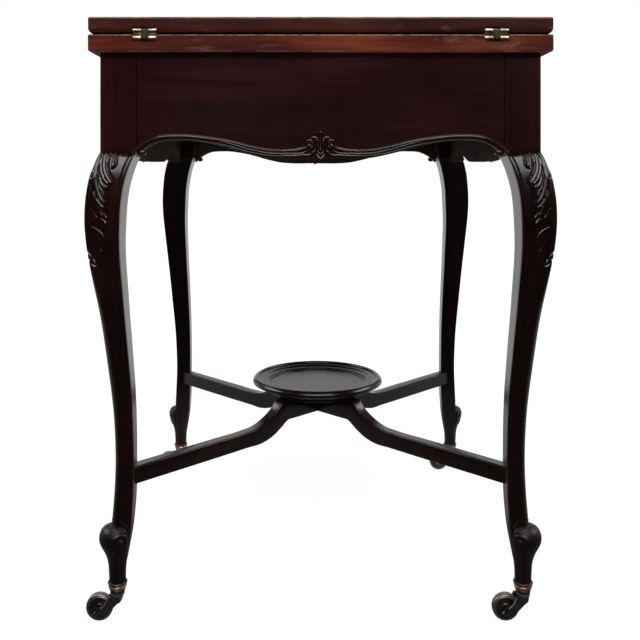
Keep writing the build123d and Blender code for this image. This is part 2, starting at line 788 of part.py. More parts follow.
# Castor socket: a tapered cup with a bead at each end round the peg, and a base that the stem turns in
socket_low_radius = foot_peg_radius + socket_wall
socket_high_radius = foot_neck_radius + socket_wall
with BuildPart() as socket:
    with BuildSketch(Plane.XZ):
        with BuildLine():
            Line((stem_radius + running_clearance, socket_bottom_z), (socket_low_radius, socket_bottom_z))
            low_bead = SagittaArc(
                (socket_low_radius, socket_bottom_z),
                (socket_low_radius, socket_bottom_z + socket_bead_height),
                -socket_bead_proud,
            )
            wall = Line(low_bead @ 1, (socket_high_radius, socket_top_z - socket_bead_height))
            high_bead = SagittaArc(wall @ 1, (socket_high_radius, socket_top_z), -socket_bead_proud)
            Line(high_bead @ 1, (foot_neck_radius, socket_top_z))
            Line((foot_neck_radius, socket_top_z), (foot_peg_radius, foot_bottom_z))
            Line((foot_peg_radius, foot_bottom_z), (stem_radius + running_clearance, foot_bottom_z))
            Line(
                (stem_radius + running_clearance, foot_bottom_z),
                (stem_radius + running_clearance, socket_bottom_z),
            )
        make_face()
    revolve(axis=Axis.Z)

foot_places = [(foot_center, foot_center), (-foot_center, foot_center)]
foot_places += [(-foot_center, -foot_center), (foot_center, -foot_center)]
with BuildPart() as castor_sockets:
    with Locations(*foot_places):
        add(socket.part)
castor_sockets.part.label = "castor_sockets"
export_step(castor_sockets.part, "parts/castor_sockets.step")

# Castor horn: stem, shoulder and heel behind the wheel, with a cheek on each side of it
shoulder_top_z = socket_bottom_z - thrust_clearance
cheek_inner_y = wheel_width / 2 + horn_side_clearance
cheek_outer_y = cheek_inner_y + horn_cheek_thick
block_front = wheel_radius - castor_trail + horn_front_clearance
with BuildPart() as horn_blank:
    with BuildSketch(Plane.XZ.offset(-cheek_outer_y)):
        with Locations((-castor_trail, wheel_radius)):
            Circle(horn_boss_radius)
        with Locations((horn_heel_offset, horn_heel_z)):
            Circle(horn_heel_radius)
        with Locations((0, shoulder_top_z - horn_shoulder_thick / 2)):
            Rectangle(2 * horn_heel_radius + 2 * horn_heel_offset, horn_shoulder_thick)
        make_hull()
    extrude(amount=2 * cheek_outer_y)
    with BuildSketch(Plane.XZ.offset(-cheek_inner_y)):
        with Locations((block_front - castor_trail, wheel_radius)):
            Rectangle(2 * castor_trail, 4 * wheel_radius)
    extrude(amount=2 * cheek_inner_y, mode=Mode.SUBTRACT)
    with BuildSketch(Plane.XY.offset(shoulder_top_z - horn_shoulder_thick)):
        Circle(horn_shoulder_radius)
    extrude(amount=horn_shoulder_thick)
    with BuildSketch(Plane.XZ.offset(-cheek_inner_y)):
        with Locations((-castor_trail, wheel_radius)):
            Circle(wheel_radius + horn_front_clearance)
    extrude(amount=2 * cheek_inner_y, mode=Mode.SUBTRACT)
    with BuildSketch(Plane.XY.offset(shoulder_top_z)):
        Circle(stem_radius)
    extrude(amount=stem_length)
    with Locations((-castor_trail, 0, wheel_radius)):
        Cylinder(axle_radius, 3 * cheek_outer_y, rotation=(90, 0, 0), mode=Mode.SUBTRACT)

with BuildPart() as axle_blank:
    with Locations((-castor_trail, 0, wheel_radius)):
        Cylinder(axle_radius, 2 * cheek_outer_y, rotation=(90, 0, 0))
    for head_side in (-1, 1):
        with Locations((-castor_trail, head_side * (cheek_outer_y + axle_head_thick / 2), wheel_radius)):
            Cylinder(axle_head_radius, axle_head_thick, rotation=(90, 0, 0))

# Wheel of a castor: rim, thinner web and hub, turned about its axle
half_width = wheel_width / 2
half_web = wheel_web_thick / 2
rim_inner = wheel_radius - wheel_rim_depth
with BuildPart() as wheel_blank:
    with BuildSketch(Plane.XY):
        with BuildLine():
            Polyline(
                (axle_radius + running_clearance, -half_width),
                (wheel_hub_radius, -half_width),
                (wheel_hub_radius, -half_web),
                (rim_inner, -half_web),
                (rim_inner, -half_width),
                (wheel_radius - wheel_rim_depth / 4, -half_width),
                (wheel_radius, -half_width + wheel_rim_depth / 4),
                (wheel_radius, half_width - wheel_rim_depth / 4),
                (wheel_radius - wheel_rim_depth / 4, half_width),
                (rim_inner, half_width),
                (rim_inner, half_web),
                (wheel_hub_radius, half_web),
                (wheel_hub_radius, half_width),
                (axle_radius + running_clearance, half_width),
                close=True,
            )
        make_face()
    revolve(axis=Axis.Y)

for corner, (foot_x, foot_y) in zip(corners, foot_places):
    with BuildPart() as castor_horn:
        with Locations((foot_x, foot_y)):
            add(horn_blank.part)
    castor_horn.part.label = f"castor_horn_{corner}"
    export_step(castor_horn.part, f"parts/castor_horn_{corner}.step")

    with BuildPart() as castor_axle:
        with Locations((foot_x, foot_y)):
            add(axle_blank.part)
    castor_axle.part.label = f"castor_axle_{corner}"
    export_step(castor_axle.part, f"parts/castor_axle_{corner}.step")

    with BuildPart() as castor_wheel:
        with Locations((foot_x - castor_trail, foot_y, wheel_radius)):
            add(wheel_blank.part)
    castor_wheel.part.label = f"castor_wheel_{corner}"
    export_step(castor_wheel.part, f"parts/castor_wheel_{corner}.step")
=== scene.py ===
import math

import bpy
import numpy as np
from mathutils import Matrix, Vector


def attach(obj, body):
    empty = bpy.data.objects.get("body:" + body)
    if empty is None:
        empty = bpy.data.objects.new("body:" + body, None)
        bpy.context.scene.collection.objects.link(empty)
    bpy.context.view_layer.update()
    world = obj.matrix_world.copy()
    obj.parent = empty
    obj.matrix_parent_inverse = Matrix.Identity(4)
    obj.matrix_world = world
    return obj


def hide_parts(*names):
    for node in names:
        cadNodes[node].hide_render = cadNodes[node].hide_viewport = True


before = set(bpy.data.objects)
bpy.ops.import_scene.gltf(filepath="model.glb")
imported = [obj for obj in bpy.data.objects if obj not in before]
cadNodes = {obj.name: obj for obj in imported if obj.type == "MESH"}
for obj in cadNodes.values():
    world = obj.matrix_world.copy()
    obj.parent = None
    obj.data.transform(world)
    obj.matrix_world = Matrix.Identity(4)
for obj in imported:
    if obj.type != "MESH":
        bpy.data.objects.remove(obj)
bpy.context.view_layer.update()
millimetre = 0.001
sideNames = ["front", "right", "back", "left"]  # each a quarter turn on from the last
cornerNames = ["back_right", "back_left", "front_left", "front_right"]
postInner, postOuter, frameTop = 224.3, 268.3, 698.2  # faces of the square posts, top of the frame
swivelAxis = 251.0  # of the castors, from the middle of the table both ways
diagonal = math.sqrt(0.5)


# Lines and surfaces, in millimetres


def smoothLine(knots, at):
    # cubic between knots, each knot's slope taken from its two neighbours
    knots = np.asarray(knots, float)
    x, y = knots[:, 0], knots[:, 1]
    slope = np.gradient(y, x)
    at = np.clip(at, x[0], x[-1])
    k = np.clip(np.searchsorted(x, at, side="right") - 1, 0, len(x) - 2)
    width = x[k + 1] - x[k]
    t = (at - x[k]) / width
    rising = (1 + 2 * t) * (1 - t) ** 2 * y[k] + t * (1 - t) ** 2 * width * slope[k]
    return rising + t * t * (3 - 2 * t) * y[k + 1] + t * t * (t - 1) * width * slope[k + 1]


def smoothPath(points, count):
    # a line through points in a plane or in space, evenly spaced along its chords
    points = np.asarray(points, float)
    chord = np.r_[0, np.cumsum(np.linalg.norm(np.diff(points, axis=0), axis=1))]
    at = np.linspace(0, chord[-1], count)
    return np.stack([smoothLine(np.c_[chord, points[:, k]], at) for k in range(points.shape[1])], 1)


def smoothStep(low, high, value):
    t = np.clip((value - low) / (high - low), 0, 1)
    return t * t * (3 - 2 * t)


def pathDirections(path):
    step = np.gradient(path, axis=0)
    return step / np.linalg.norm(step, axis=1)[:, None]


def thereAndBack(sheet):
    # the columns of a sheet, then the same in reverse, for a solid's front and back
    return np.concatenate([sheet, sheet[:, ::-1]], 1)


def plateau(limits, value, over=1.0):
    # rises between the first two limits and falls between the last two
    return over * smoothStep(*limits[:2], value) * (1 - smoothStep(*limits[2:], value))


def fullTurn(count):
    return np.linspace(0, 2 * math.pi, count, endpoint=False)[None, :]


def powered(wave, power):
    # a sine or cosine raised to a power, its sign kept
    return np.sign(wave) * np.abs(wave) ** power


def quarterTurned(grid, turns):
    # turned about the upright axis by quarter turns
    x, y, z = grid[..., 0], grid[..., 1], grid[..., 2]
    for _ in range(turns % 4):
        x, y = -y, x
    return np.stack([x, y, z], -1)


def gridSolid(grid, ringed=True, looped=False, wear=None):
    # quads between neighbouring rows and columns; columns run round when ringed, rows when looped,
    # and open ends are closed by a fan of triangles to the middle of the last row
    rows, columns = grid.shape[:2]
    wear = np.zeros((rows, columns)) if wear is None else np.broadcast_to(wear, (rows, columns))
    points, wear = grid.reshape(-1, 3), wear.reshape(-1)
    index = np.arange(rows * columns).reshape(rows, columns)
    if ringed:
        index = np.concatenate([index, index[:, :1]], 1)
    if looped:
        index = np.concatenate([index, index[:1]], 0)
    quads = np.stack([index[:-1, :-1], index[:-1, 1:], index[1:, 1:], index[1:, :-1]], -1).reshape(-1, 4)
    fans = np.zeros((0, 3), int)
    if ringed and not looped:
        ends = len(points) + np.arange(2)
        points = np.concatenate([points, [grid[0].mean(0)], [grid[-1].mean(0)]])
        wear = np.r_[wear, 0, 0]
        low, high = index[0], index[-1]
        lowFan = np.stack([np.full(len(low) - 1, ends[0]), low[1:], low[:-1]], -1)
        highFan = np.stack([np.full(len(high) - 1, ends[1]), high[:-1], high[1:]], -1)
        fans = np.concatenate([lowFan, highFan])
    a, b, c, d = (points[quads[:, k]] for k in range(4))
    volume = np.einsum("ij,ij->", a, np.cross(b, c)) + np.einsum("ij,ij->", a, np.cross(c, d))
    if len(fans):
        a, b, c = (points[fans[:, k]] for k in range(3))
        volume += np.einsum("ij,ij->", a, np.cross(b, c))
    if volume < 0:  # faces point outwards
        quads, fans = quads[:, ::-1], fans[:, ::-1]
    return {"points": points, "quads": quads, "fans": fans, "wear": wear}


def turnedProfile(profile, count, centre=(0.0, 0.0)):
    # a profile of (radius, height) carried round an upright axis
    profile = np.asarray(profile, float)
    angle = fullTurn(count)
    radius, height = profile[:, :1], np.repeat(profile[:, 1:], count, 1)
    return np.stack([centre[0] + radius * np.cos(angle), centre[1] + radius * np.sin(angle), height], -1)


def placed(name, data):
    # an object with this data, in the scene
    made = bpy.data.objects.new(name, data)
    bpy.context.scene.collection.objects.link(made)
    return made


def buildPiece(name, solids, material, body, replaced, sharpAngle=40, second=None):
    # all the solids of one piece in one mesh, in metres, with the wear at each point;
    # faces whose wear is -1 take the second material
    points = np.concatenate([s["points"] for s in solids]) * millimetre
    starts = np.cumsum([0] + [len(s["points"]) for s in solids[:-1]])
    quads = np.concatenate([s["quads"] + start for s, start in zip(solids, starts)])
    fans = np.concatenate([s["fans"] + start for s, start in zip(solids, starts)])
    sizes = np.r_[np.full(len(quads), 4), np.full(len(fans), 3)]
    corners = np.r_[quads.reshape(-1), fans.reshape(-1)]
    mesh = bpy.data.meshes.new(name)
    mesh.vertices.add(len(points))
    mesh.vertices.foreach_set("co", points.reshape(-1))
    mesh.loops.add(len(corners))
    mesh.loops.foreach_set("vertex_index", corners.astype(np.int32))
    mesh.polygons.add(len(sizes))
    mesh.polygons.foreach_set("loop_start", np.r_[0, np.cumsum(sizes)[:-1]].astype(np.int32))
    mesh.polygons.foreach_set("use_smooth", np.ones(len(sizes), bool))
    mesh.update(calc_edges=True)
    mesh.validate()
    mesh.set_sharp_from_angle(angle=math.radians(sharpAngle))
    wear = np.concatenate([s["wear"] for s in solids])
    worn = mesh.attributes.new("wear", "FLOAT", "POINT")
    worn.data.foreach_set("value", np.clip(wear, 0, 1).astype(np.float32))
    mesh.materials.append(material)
    if second:
        mesh.materials.append(second)
        other = np.r_[wear[quads].max(1), wear[fans].max(1)] < -0.5
        mesh.polygons.foreach_set("material_index", other.astype(np.int32))
    piece = placed(name, mesh)
    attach(piece, body)
    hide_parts(*replaced)


# Nodes of the materials and of the world


def feed(tree, socket, value):
    # an input takes a number, an (r, g, b) colour, a vector or another node's output
    if isinstance(value, bpy.types.NodeSocket):
        tree.links.new(value, socket)
    elif isinstance(value, tuple) and socket.type == "RGBA":
        socket.default_value = (*value, 1)
    elif value is not None:
        socket.default_value = value


def fill(tree, node, inputs):
    for key, value in inputs.items():
        feed(tree, node.inputs[key], value)
    return node


def addNode(tree, kind, inputs):
    return fill(tree, tree.nodes.new(kind), inputs)


def newMaterial(name, kind="ShaderNodeBsdfPrincipled"):
    # a material with one shader, which the caller fills in
    material = bpy.data.materials.new(name)
    material.use_nodes = True
    tree = material.node_tree
    tree.nodes.clear()
    shader = tree.nodes.new(kind)
    addNode(tree, "ShaderNodeOutputMaterial", {"Surface": shader.outputs[0]})
    return material, tree, shader


def calculated(tree, operation, first, second=0.0, third=None, clamped=False):
    # one Math node; inputs are numbers or sockets
    node = tree.nodes.new("ShaderNodeMath")
    node.operation = operation
    node.use_clamp = clamped
    for socket, value in zip(node.inputs, (first, second, third)):
        feed(tree, socket, value)
    return node.outputs[0]


def scaled(tree, value, factor, offset, clamped=False):
    return calculated(tree, "MULTIPLY_ADD", value, factor, offset, clamped)


def product(tree, first, second, clamped=False):
    return calculated(tree, "MULTIPLY", first, second, None, clamped)


def faded(tree, value, zero, one):
    # 0 as far as the place zero, 1 from the place one on; either may be the higher
    slope = 1 / (one - zero)
    return scaled(tree, value, slope, -zero * slope, True)


def blended(tree, factor, first, second):
    # one colour Mix node; colours are (r, g, b) or sockets
    node = tree.nodes.new("ShaderNodeMix")
    node.data_type = "RGBA"
    return fill(tree, node, {"Factor": factor, 6: first, 7: second}).outputs[2]


def splitVector(tree, kind, output):
    # the x, y and z of a vector that a new node of this kind gives
    vector = tree.nodes.new(kind).outputs[output]
    return addNode(tree, "ShaderNodeSeparateXYZ", {0: vector}).outputs


def stretchedNoise(tree, scale, turn, detail, roughness, distortion=0.0):
    # noise on Object coordinates, stretched by a scale for each axis
    place = tree.nodes.new("ShaderNodeTexCoord").outputs["Object"]
    mapping = addNode(tree, "ShaderNodeMapping", {"Vector": place, "Rotation": turn, "Scale": scale})
    inputs = {
        "Vector": mapping.outputs["Vector"],
        "Scale": 1.0,
        "Detail": detail,
        "Roughness": roughness,
        "Distortion": distortion,
    }
    return addNode(tree, "ShaderNodeTexNoise", inputs).outputs["Fac"]


def ramped(tree, factor, stops):
    # colour ramp with stops of (place, (r, g, b))
    ramp = addNode(tree, "ShaderNodeValToRGB", {"Fac": factor})
    elements = ramp.color_ramp.elements
    while len(elements) < len(stops):
        elements.new(0.5)
    for element, (place, colour) in zip(elements, stops):
        element.position = place
        element.color = (*colour, 1)
    return ramp.outputs["Color"]


def pointWear(tree):
    attribute = tree.nodes.new("ShaderNodeAttribute")
    attribute.attribute_name = "wear"
    return attribute.outputs["Fac"]


def addBump(tree, shader, height, strength, distance):
    bump = addNode(tree, "ShaderNodeBump", {"Strength": strength, "Distance": distance, "Height": height})
    tree.links.new(bump.outputs["Normal"], shader.inputs["Normal"])


# For each way that the grain runs, how much finer it is along each axis, and the turn of its axes
grainWays = {
    "x": ((1, 14, 14), (0, 0, 0)),
    "y": ((14, 1, 14), (0, 0, 0)),
    "z": ((14, 14, 1), (0, 0, 0)),
    "diagonalA": ((1, 14, 14), (0, 0, -math.pi / 4)),
    "diagonalB": ((1, 14, 14), (0, 0, math.pi / 4)),
}

# Finishes of the wood; tones are the dark, the middle and the light of its figure
frameLook = {
    "tones": ((0.002, 0.0004, 0.0004), (0.005, 0.0008, 0.0007), (0.012, 0.0021, 0.0018)),
    "worn": (0.05, 0.024, 0.02),
    "figure": 3.2,
    "roughness": 0.23,
    "specular": 0.32,
    "coat": 0.2,
    "bump": 0.16,
}
friezeLook = dict(
    frameLook,
    tones=((0.0075, 0.0024, 0.0028), (0.0135, 0.0028, 0.0035), (0.026, 0.005, 0.006)),
    roughness=0.2,
)
postLook = dict(frameLook, tones=((0.0065, 0.0009, 0.001), (0.013, 0.0014, 0.0015), (0.024, 0.0028, 0.003)))
topLook = {
    "tones": ((0.026, 0.0055, 0.0035), (0.062, 0.0115, 0.0065), (0.15, 0.034, 0.014)),
    "worn": (0.32, 0.16, 0.11),
    "figure": 3.4,
    "roughness": 0.25,
    "specular": 0.2,
    "coat": 0.0,
    "bump": 0.2,
}
flapLook = dict(topLook, tones=((0.017, 0.0042, 0.0028), (0.034, 0.0085, 0.0052), (0.068, 0.018, 0.01)))
insideLook = {
    "tones": ((0.006, 0.0032, 0.0026), (0.02, 0.0115, 0.0092), (0.038, 0.022, 0.018)),
    "worn": (0.05, 0.035, 0.03),
    "figure": 2.4,
    "roughness": 0.8,
    "specular": 0.06,
    "coat": 0.0,
    "bump": 0.5,
}
bareLook = {
    "tones": ((0.18, 0.1, 0.05), (0.33, 0.2, 0.11), (0.45, 0.3, 0.18)),
    "worn": (0.5, 0.36, 0.24),
    "figure": 2.0,
    "roughness": 0.62,
    "specular": 0.25,
    "coat": 0.0,
    "bump": 0.35,
}

# Lengths here are in metres
woodPattern = {
    "toneStops": (0.36, 0.5, 0.66),  # where the tones stand in the figure
    "streakShare": 0.45,  # of the figure; clouds make up the rest
    "pores": (0.58, 0.78),  # noise at which a pore begins and at which it is darkest
    "poreDepth": 0.45,
    "poreRelief": 0.4,
    "rubbing": (3.4, -1.35),  # factor and offset of the noise that breaks up the wear
    "wornRoughness": 0.25,
    "coatRoughness": 0.14,
    "smears": 0.22,
    "unpolished": 0.5,  # roughness that the undersides have more
    "post": (0.574, 0.584),  # heights between which the leg takes the post's tones
    "feetBelow": 0.132,
    "feetSlope": 60.0,
    "feetRoughness": 0.2,
    "feetCoatLoss": 0.8,
    "outerEdge": (0.2775, 0.2795),  # reach of the upright edges of the top
    "rimSlope": 700.0,
    "bloom": (0.59, 0.79),  # noise at which the pale bloom begins and at which it is full
    "bloomShare": 0.55,
    # painted shade along a flap's lower rim: how sharply it comes in, how much of it, and its colour
    "bloomColour": (0.2, 0.12, 0.11),
    "shadeBandSlope": 1200.0,
    "shadeBandShare": 0.93,
    "shadeBandColour": (0.002, 0.001, 0.001),
    "bumpDistance": 0.0004,
}


def outermost(tree, place):
    # 1 on the upright edges of the top's square, 0 further in
    across, along = (calculated(tree, "ABSOLUTE", place[axis]) for axis in "XY")
    return faded(tree, calculated(tree, "MAXIMUM", across, along), *woodPattern["outerEdge"])


def rimOfTop(low, high):
    # wear on the edges of a leaf of the top, below one height and above the other; the band along the top
    # edge is also a painted highlight
    def mask(tree, place):
        slope = woodPattern["rimSlope"]
        upper = scaled(tree, place["Z"], slope, -slope * high, True)
        lower = scaled(tree, place["Z"], -slope, slope * low, True)
        return product(tree, outermost(tree, place), calculated(tree, "MAXIMUM", upper, lower))

    return mask


def polishedWood(name, look, way, rimWearAndHighlight=None, upper=None, shadeBandBelow=None):
    # clouds, streaks and pores of one board under a worn french polish; the tones change to those of the
    # upper look where the leg is a post; a leaf of the top has its own wear at the rim, which along its top
    # edge is also a painted highlight, and a flap also a band of painted shade along its lower rim
    material, tree, shader = newMaterial(name)
    stretch, turn = grainWays[way]
    pattern = woodPattern
    place = splitVector(tree, "ShaderNodeTexCoord", "Object")
    clouds = stretchedNoise(tree, tuple(look["figure"] * s**0.5 for s in stretch), turn, 3.0, 0.5, 0.6)
    streaks = stretchedNoise(tree, tuple(9 * s for s in stretch), turn, 6.0, 0.62, 0.25)
    pores = stretchedNoise(tree, tuple(60 * s for s in stretch), turn, 3.0, 0.7)
    share = pattern["streakShare"]
    figure = scaled(tree, clouds, 1 - share, product(tree, streaks, share))
    wood = ramped(tree, figure, list(zip(pattern["toneStops"], look["tones"])))
    if upper:
        post = ramped(tree, figure, list(zip(pattern["toneStops"], upper["tones"])))
        wood = blended(tree, faded(tree, place["Z"], *pattern["post"]), wood, post)
    inPores = product(tree, faded(tree, pores, *pattern["pores"]), pattern["poreDepth"])
    wood = blended(tree, inPores, wood, look["tones"][0])
    # on a leaf of the top this mask is edge wear and, along the top edge, also a painted highlight
    wear = rimWearAndHighlight(tree, place) if rimWearAndHighlight else pointWear(tree)
    rubbing = stretchedNoise(tree, (55, 55, 55), (0, 0, 0), 5.0, 0.65)
    wear = product(tree, wear, scaled(tree, rubbing, *pattern["rubbing"], True), True)
    wood = blended(tree, wear, wood, look["worn"])
    if rimWearAndHighlight:  # pale bloom in patches along the edges of the top
        clouding = stretchedNoise(tree, (17, 17, 60), (0, 0, 0), 5.0, 0.6, 0.4)
        bloom = product(tree, faded(tree, clouding, *pattern["bloom"]), outermost(tree, place))
        wood = blended(tree, product(tree, bloom, pattern["bloomShare"]), wood, pattern["bloomColour"])
    if shadeBandBelow:  # painted shade: a dark band along the lower rim, where the rounded edge turns under
        slope = pattern["shadeBandSlope"]
        low = scaled(tree, place["Z"], -slope, slope * shadeBandBelow, True)
        wood = blended(tree, product(tree, low, pattern["shadeBandShare"]), wood, pattern["shadeBandColour"])
    smears = stretchedNoise(tree, (7, 7, 7), (0.4, 0.3, 0.2), 4.0, 0.6)
    sheen = scaled(tree, smears, pattern["smears"], look["roughness"] - 0.1)
    underside = faded(tree, splitVector(tree, "ShaderNodeNewGeometry", "Normal")["Z"], -0.75, -1.0)
    sheen = scaled(tree, underside, pattern["unpolished"], sheen)
    coat = look["coat"]
    if upper:  # the feet are scuffed and have lost their polish
        slope = pattern["feetSlope"]
        scuffed = scaled(tree, place["Z"], -slope, slope * pattern["feetBelow"], True)
        sheen = scaled(tree, scuffed, pattern["feetRoughness"], sheen)
        coat = scaled(tree, scuffed, -pattern["feetCoatLoss"] * coat, coat)
    finish = {
        "Base Color": wood,
        "Roughness": scaled(tree, wear, pattern["wornRoughness"], sheen, True),
        "Specular IOR Level": look["specular"],
        "Coat Weight": coat,
        "Coat Roughness": pattern["coatRoughness"],
    }
    fill(tree, shader, finish)
    share = pattern["poreRelief"]
    relief = scaled(tree, streaks, 1 - share, product(tree, pores, share))
    addBump(tree, shader, relief, look["bump"], pattern["bumpDistance"])
    return material


# bright and dull colour, share of the bright one, roughness, patches to the metre
metalLooks = {
    "agedBrass": ((0.76, 0.64, 0.48), (0.1, 0.075, 0.045), 0.75, 0.24, 140),
    "dullBrass": ((0.11, 0.09, 0.055), (0.03, 0.025, 0.014), 0.5, 0.42, 260),
    "copperCollar": ((0.62, 0.36, 0.22), (0.13, 0.062, 0.034), 1.0, 0.26, 110),
    "castorIron": ((0.5, 0.47, 0.45), (0.034, 0.031, 0.031), 0.18, 0.32, 120),
    "plainSteel": ((0.55, 0.55, 0.56), (0.3, 0.29, 0.28), 1.0, 0.36, 80),
}


def wornMetal(name):
    # bright metal under a patchy brown skin, rubbed bright where the wear is
    bright, dull, shine, roughness, patch = metalLooks[name]
    material, tree, shader = newMaterial(name)
    patches = stretchedNoise(tree, (patch, patch, patch), (0, 0, 0), 6.0, 0.68)
    scratches = stretchedNoise(tree, (300, 2600, 900), (0.2, 0.5, 0.3), 3.0, 0.6)
    cover = product(tree, scaled(tree, patches, 3.0, -1.0, True), shine)
    rough = scaled(tree, patches, -0.3, roughness + 0.18)
    finish = {
        "Base Color": blended(tree, pointWear(tree), blended(tree, cover, dull, bright), bright),
        "Metallic": 1.0,
        "Roughness": scaled(tree, scratches, 0.12, rough, True),
    }
    fill(tree, shader, finish)
    addBump(tree, shader, calculated(tree, "ADD", patches, scratches), 0.2, 0.0003)
    return material


def feltedBaize():
    # napped wool cloth: fine fibres over a soft mottle, with a pale nap at glancing angles
    material, tree, shader = newMaterial("greenBaize")
    mottle = stretchedNoise(tree, (40, 40, 40), (0, 0, 0), 4.0, 0.6)
    fibres = stretchedNoise(tree, (2600, 1500, 1500), (0, 0, 0.5), 4.0, 0.75)
    shade = scaled(tree, mottle, 0.5, product(tree, fibres, 0.5))
    finish = {
        "Base Color": ramped(tree, shade, [(0.35, (0.016, 0.075, 0.034)), (0.65, (0.04, 0.15, 0.075))]),
        "Roughness": scaled(tree, mottle, 0.15, 0.82, True),
        "Specular IOR Level": 0.15,
        "Sheen Weight": 0.35,
        "Sheen Roughness": 0.5,
    }
    fill(tree, shader, finish)
    addBump(tree, shader, fibres, 0.5, 0.0004)
    return material


upright = polishedWood("legMahogany", frameLook, "z", None, postLook)
inside = polishedWood("insideMahogany", insideLook, "x")
boardX = polishedWood("friezeMahoganyX", friezeLook, "x")
boardY = polishedWood("friezeMahoganyY", friezeLook, "y")
barA = polishedWood("stretcherMahoganyA", frameLook, "diagonalA")
barB = polishedWood("stretcherMahoganyB", frameLook, "diagonalB")
turnedWood = polishedWood("dishMahogany", frameLook, "x")
# rimOfTop gives edge wear that along the top edge is also a painted highlight line
leafWood = polishedWood("leafMahogany", topLook, "x", rimOfTop(0.7005, 0.7175))
# the last number is the height below which a flap takes a band of painted shade along its lower rim
flapX = polishedWood("flapMahoganyX", flapLook, "x", rimOfTop(0.7195, 0.7385), None, 0.7229)
flapY = polishedWood("flapMahoganyY", flapLook, "y", rimOfTop(0.7195, 0.7385), None, 0.7229)
bareWood = polishedWood("bareOak", bareLook, "x")
brass, dullBrass, copper, iron, steel = (wornMetal(name) for name in metalLooks)
baize = feltedBaize()
print("finishes made")

cadFinishes = {"base_leaf": leafWood, "base_baize": baize}
cadFinishes.update(dict.fromkeys(("swivel_bearer", "corner_blocks", "swivel_stop"), bareWood))
cadFinishes.update(dict.fromkeys(("hinge_base_plates", "hinge_base_screws"), brass))
cadFinishes.update(dict.fromkeys(("pivot_bolt", "pivot_washer", "pivot_nut", "dish_screws"), steel))
for side, wood in zip(sideNames, (flapX, flapY, flapX, flapY)):
    cadFinishes[f"flap_{side}"] = wood
    cadFinishes[f"flap_baize_{side}"] = baize
    cadFinishes[f"hinge_links_{side}"] = dullBrass
    for kind in ("hinge_flap_plates", "hinge_flap_screws", "hinge_pins"):
        cadFinishes[f"{kind}_{side}"] = brass
for corner in cornerNames:
    for kind in ("castor_horn", "castor_axle", "castor_wheel"):
        cadFinishes[f"{kind}_{corner}"] = iron
for name, material in cadFinishes.items():
    mesh = cadNodes[name].data
    mesh.materials.clear()
    mesh.materials.append(material)
print("frame dressed")


legShape = {
    "post": (postInner, postOuter),
    "postTop": frameTop,
    "postBottom": 580.0,
    "outerLine": [
        (128, 258.3), (147, 257.0), (185.6, 255.4), (247.7, 257.2), (324.2, 265.0), (399, 274.0),
        (440, 279.2), (470, 282.6), (500, 283.9), (530.1, 281.9), (555, 277.3), (573, 271.6),
        (580, postOuter),
    ],
    "innerLine": [
        (91, 236.3), (139.8, 231.7), (200.1, 230.7), (266.2, 231.7), (330, 235.0), (394.4, 239.0),
        (481.4, 242.0), (544, 236.3), (565, 230.5), (580, postInner),
    ],
    "reach": 283.9,  # nothing stands further out than the solid
    "footBottom": 47.4,
    "footOuterLine": [
        (47.4, 261.1), (62, 261.2), (70, 261.4), (78, 261.8), (93, 262.6), (108, 260.8), (117, 259.0),
        (128, 258.3),
    ],
    "footInnerLine": [(47.4, 240.9), (62, 240.6), (70, 240.0), (80, 238.2), (91, 236.3)],
    # roundness of the outer corner and of the other three, as shares of the leg's width
    "arrisShares": [
        (47, 0.5), (92, 0.45), (128, 0.5), (185, 0.52), (250, 0.56), (324, 0.56), (380, 0.48), (415, 0.26),
        (440, 0.13), (470, 0.07), (500, 0.05), (580, 0.02), (700, 0.02),
    ],
    "cornerShares": [
        (47, 0.5), (76, 0.48), (92, 0.4), (112, 0.2), (135, 0.08), (200, 0.06), (470, 0.05), (540, 0.03),
        (700, 0.02),
    ],
    "carved": (436, 582),  # heights of the knee's carving, where the rows are close
    "footCarved": 126,
    "kneeStep": 0.65,
    "footStep": 1.0,
    "leafWear": 0.3,
    "arrisWear": (0.25, 6),  # and how far from the corner it fades out
    "plainStep": 3.0,
    "faceColumns": 64,
}

# Carved leaves of the knee on one face: points are (distance from the outer corner, height), then half the
# leaf's width at its start, middle and end, and how far it stands above the ground
kneeLeaves = [
    ([(18.6, 581), (20.6, 574), (22.4, 567.6), (23.8, 562.6)], (1.6, 2.1, 2.4), 3.6),
    ([(13.4, 581), (15.2, 574), (16.6, 568.6)], (1.6, 2.0, 1.3), 2.6),
    (
        [(8.5, 579), (10.5, 570), (13.2, 561), (18.0, 552.5), (23.6, 545.8), (27.2, 541.8)],
        (1.6, 2.3, 2.2),
        3.4,
    ),
    ([(7.6, 569), (9.6, 560), (14.4, 551), (19.6, 544.4), (23.8, 540.9)], (1.2, 1.9, 1.7), 3.2),
    ([(11.4, 551), (14.6, 543.5), (18.8, 538.2), (22.6, 536.0)], (1.4, 2.3, 3.0), 3.8),
    (
        [(9.2, 578), (6.4, 570), (5.2, 562), (5.8, 553.5), (8, 544), (11.8, 534), (16.4, 525.5), (22.6, 517)],
        (1.6, 2.8, 2.5),
        3.4,
    ),
    ([(14.6, 536), (18.0, 532.2), (21.8, 529.2)], (0.9, 1.4, 1.1), 2.2),
    ([(0.6, 455.2), (4.4, 450.8)], (2.1, 2.6, 2.2), 2.6),
    ([(6.4, 446.8), (8.2, 444.6)], (2.2, 2.3, 2.2), 2.6),
    ([(1.8, 581), (2.8, 567.1), (2.6, 557.9), (2.3, 549.0)], (2.3, 2.1, 1.2), 2.6),
]
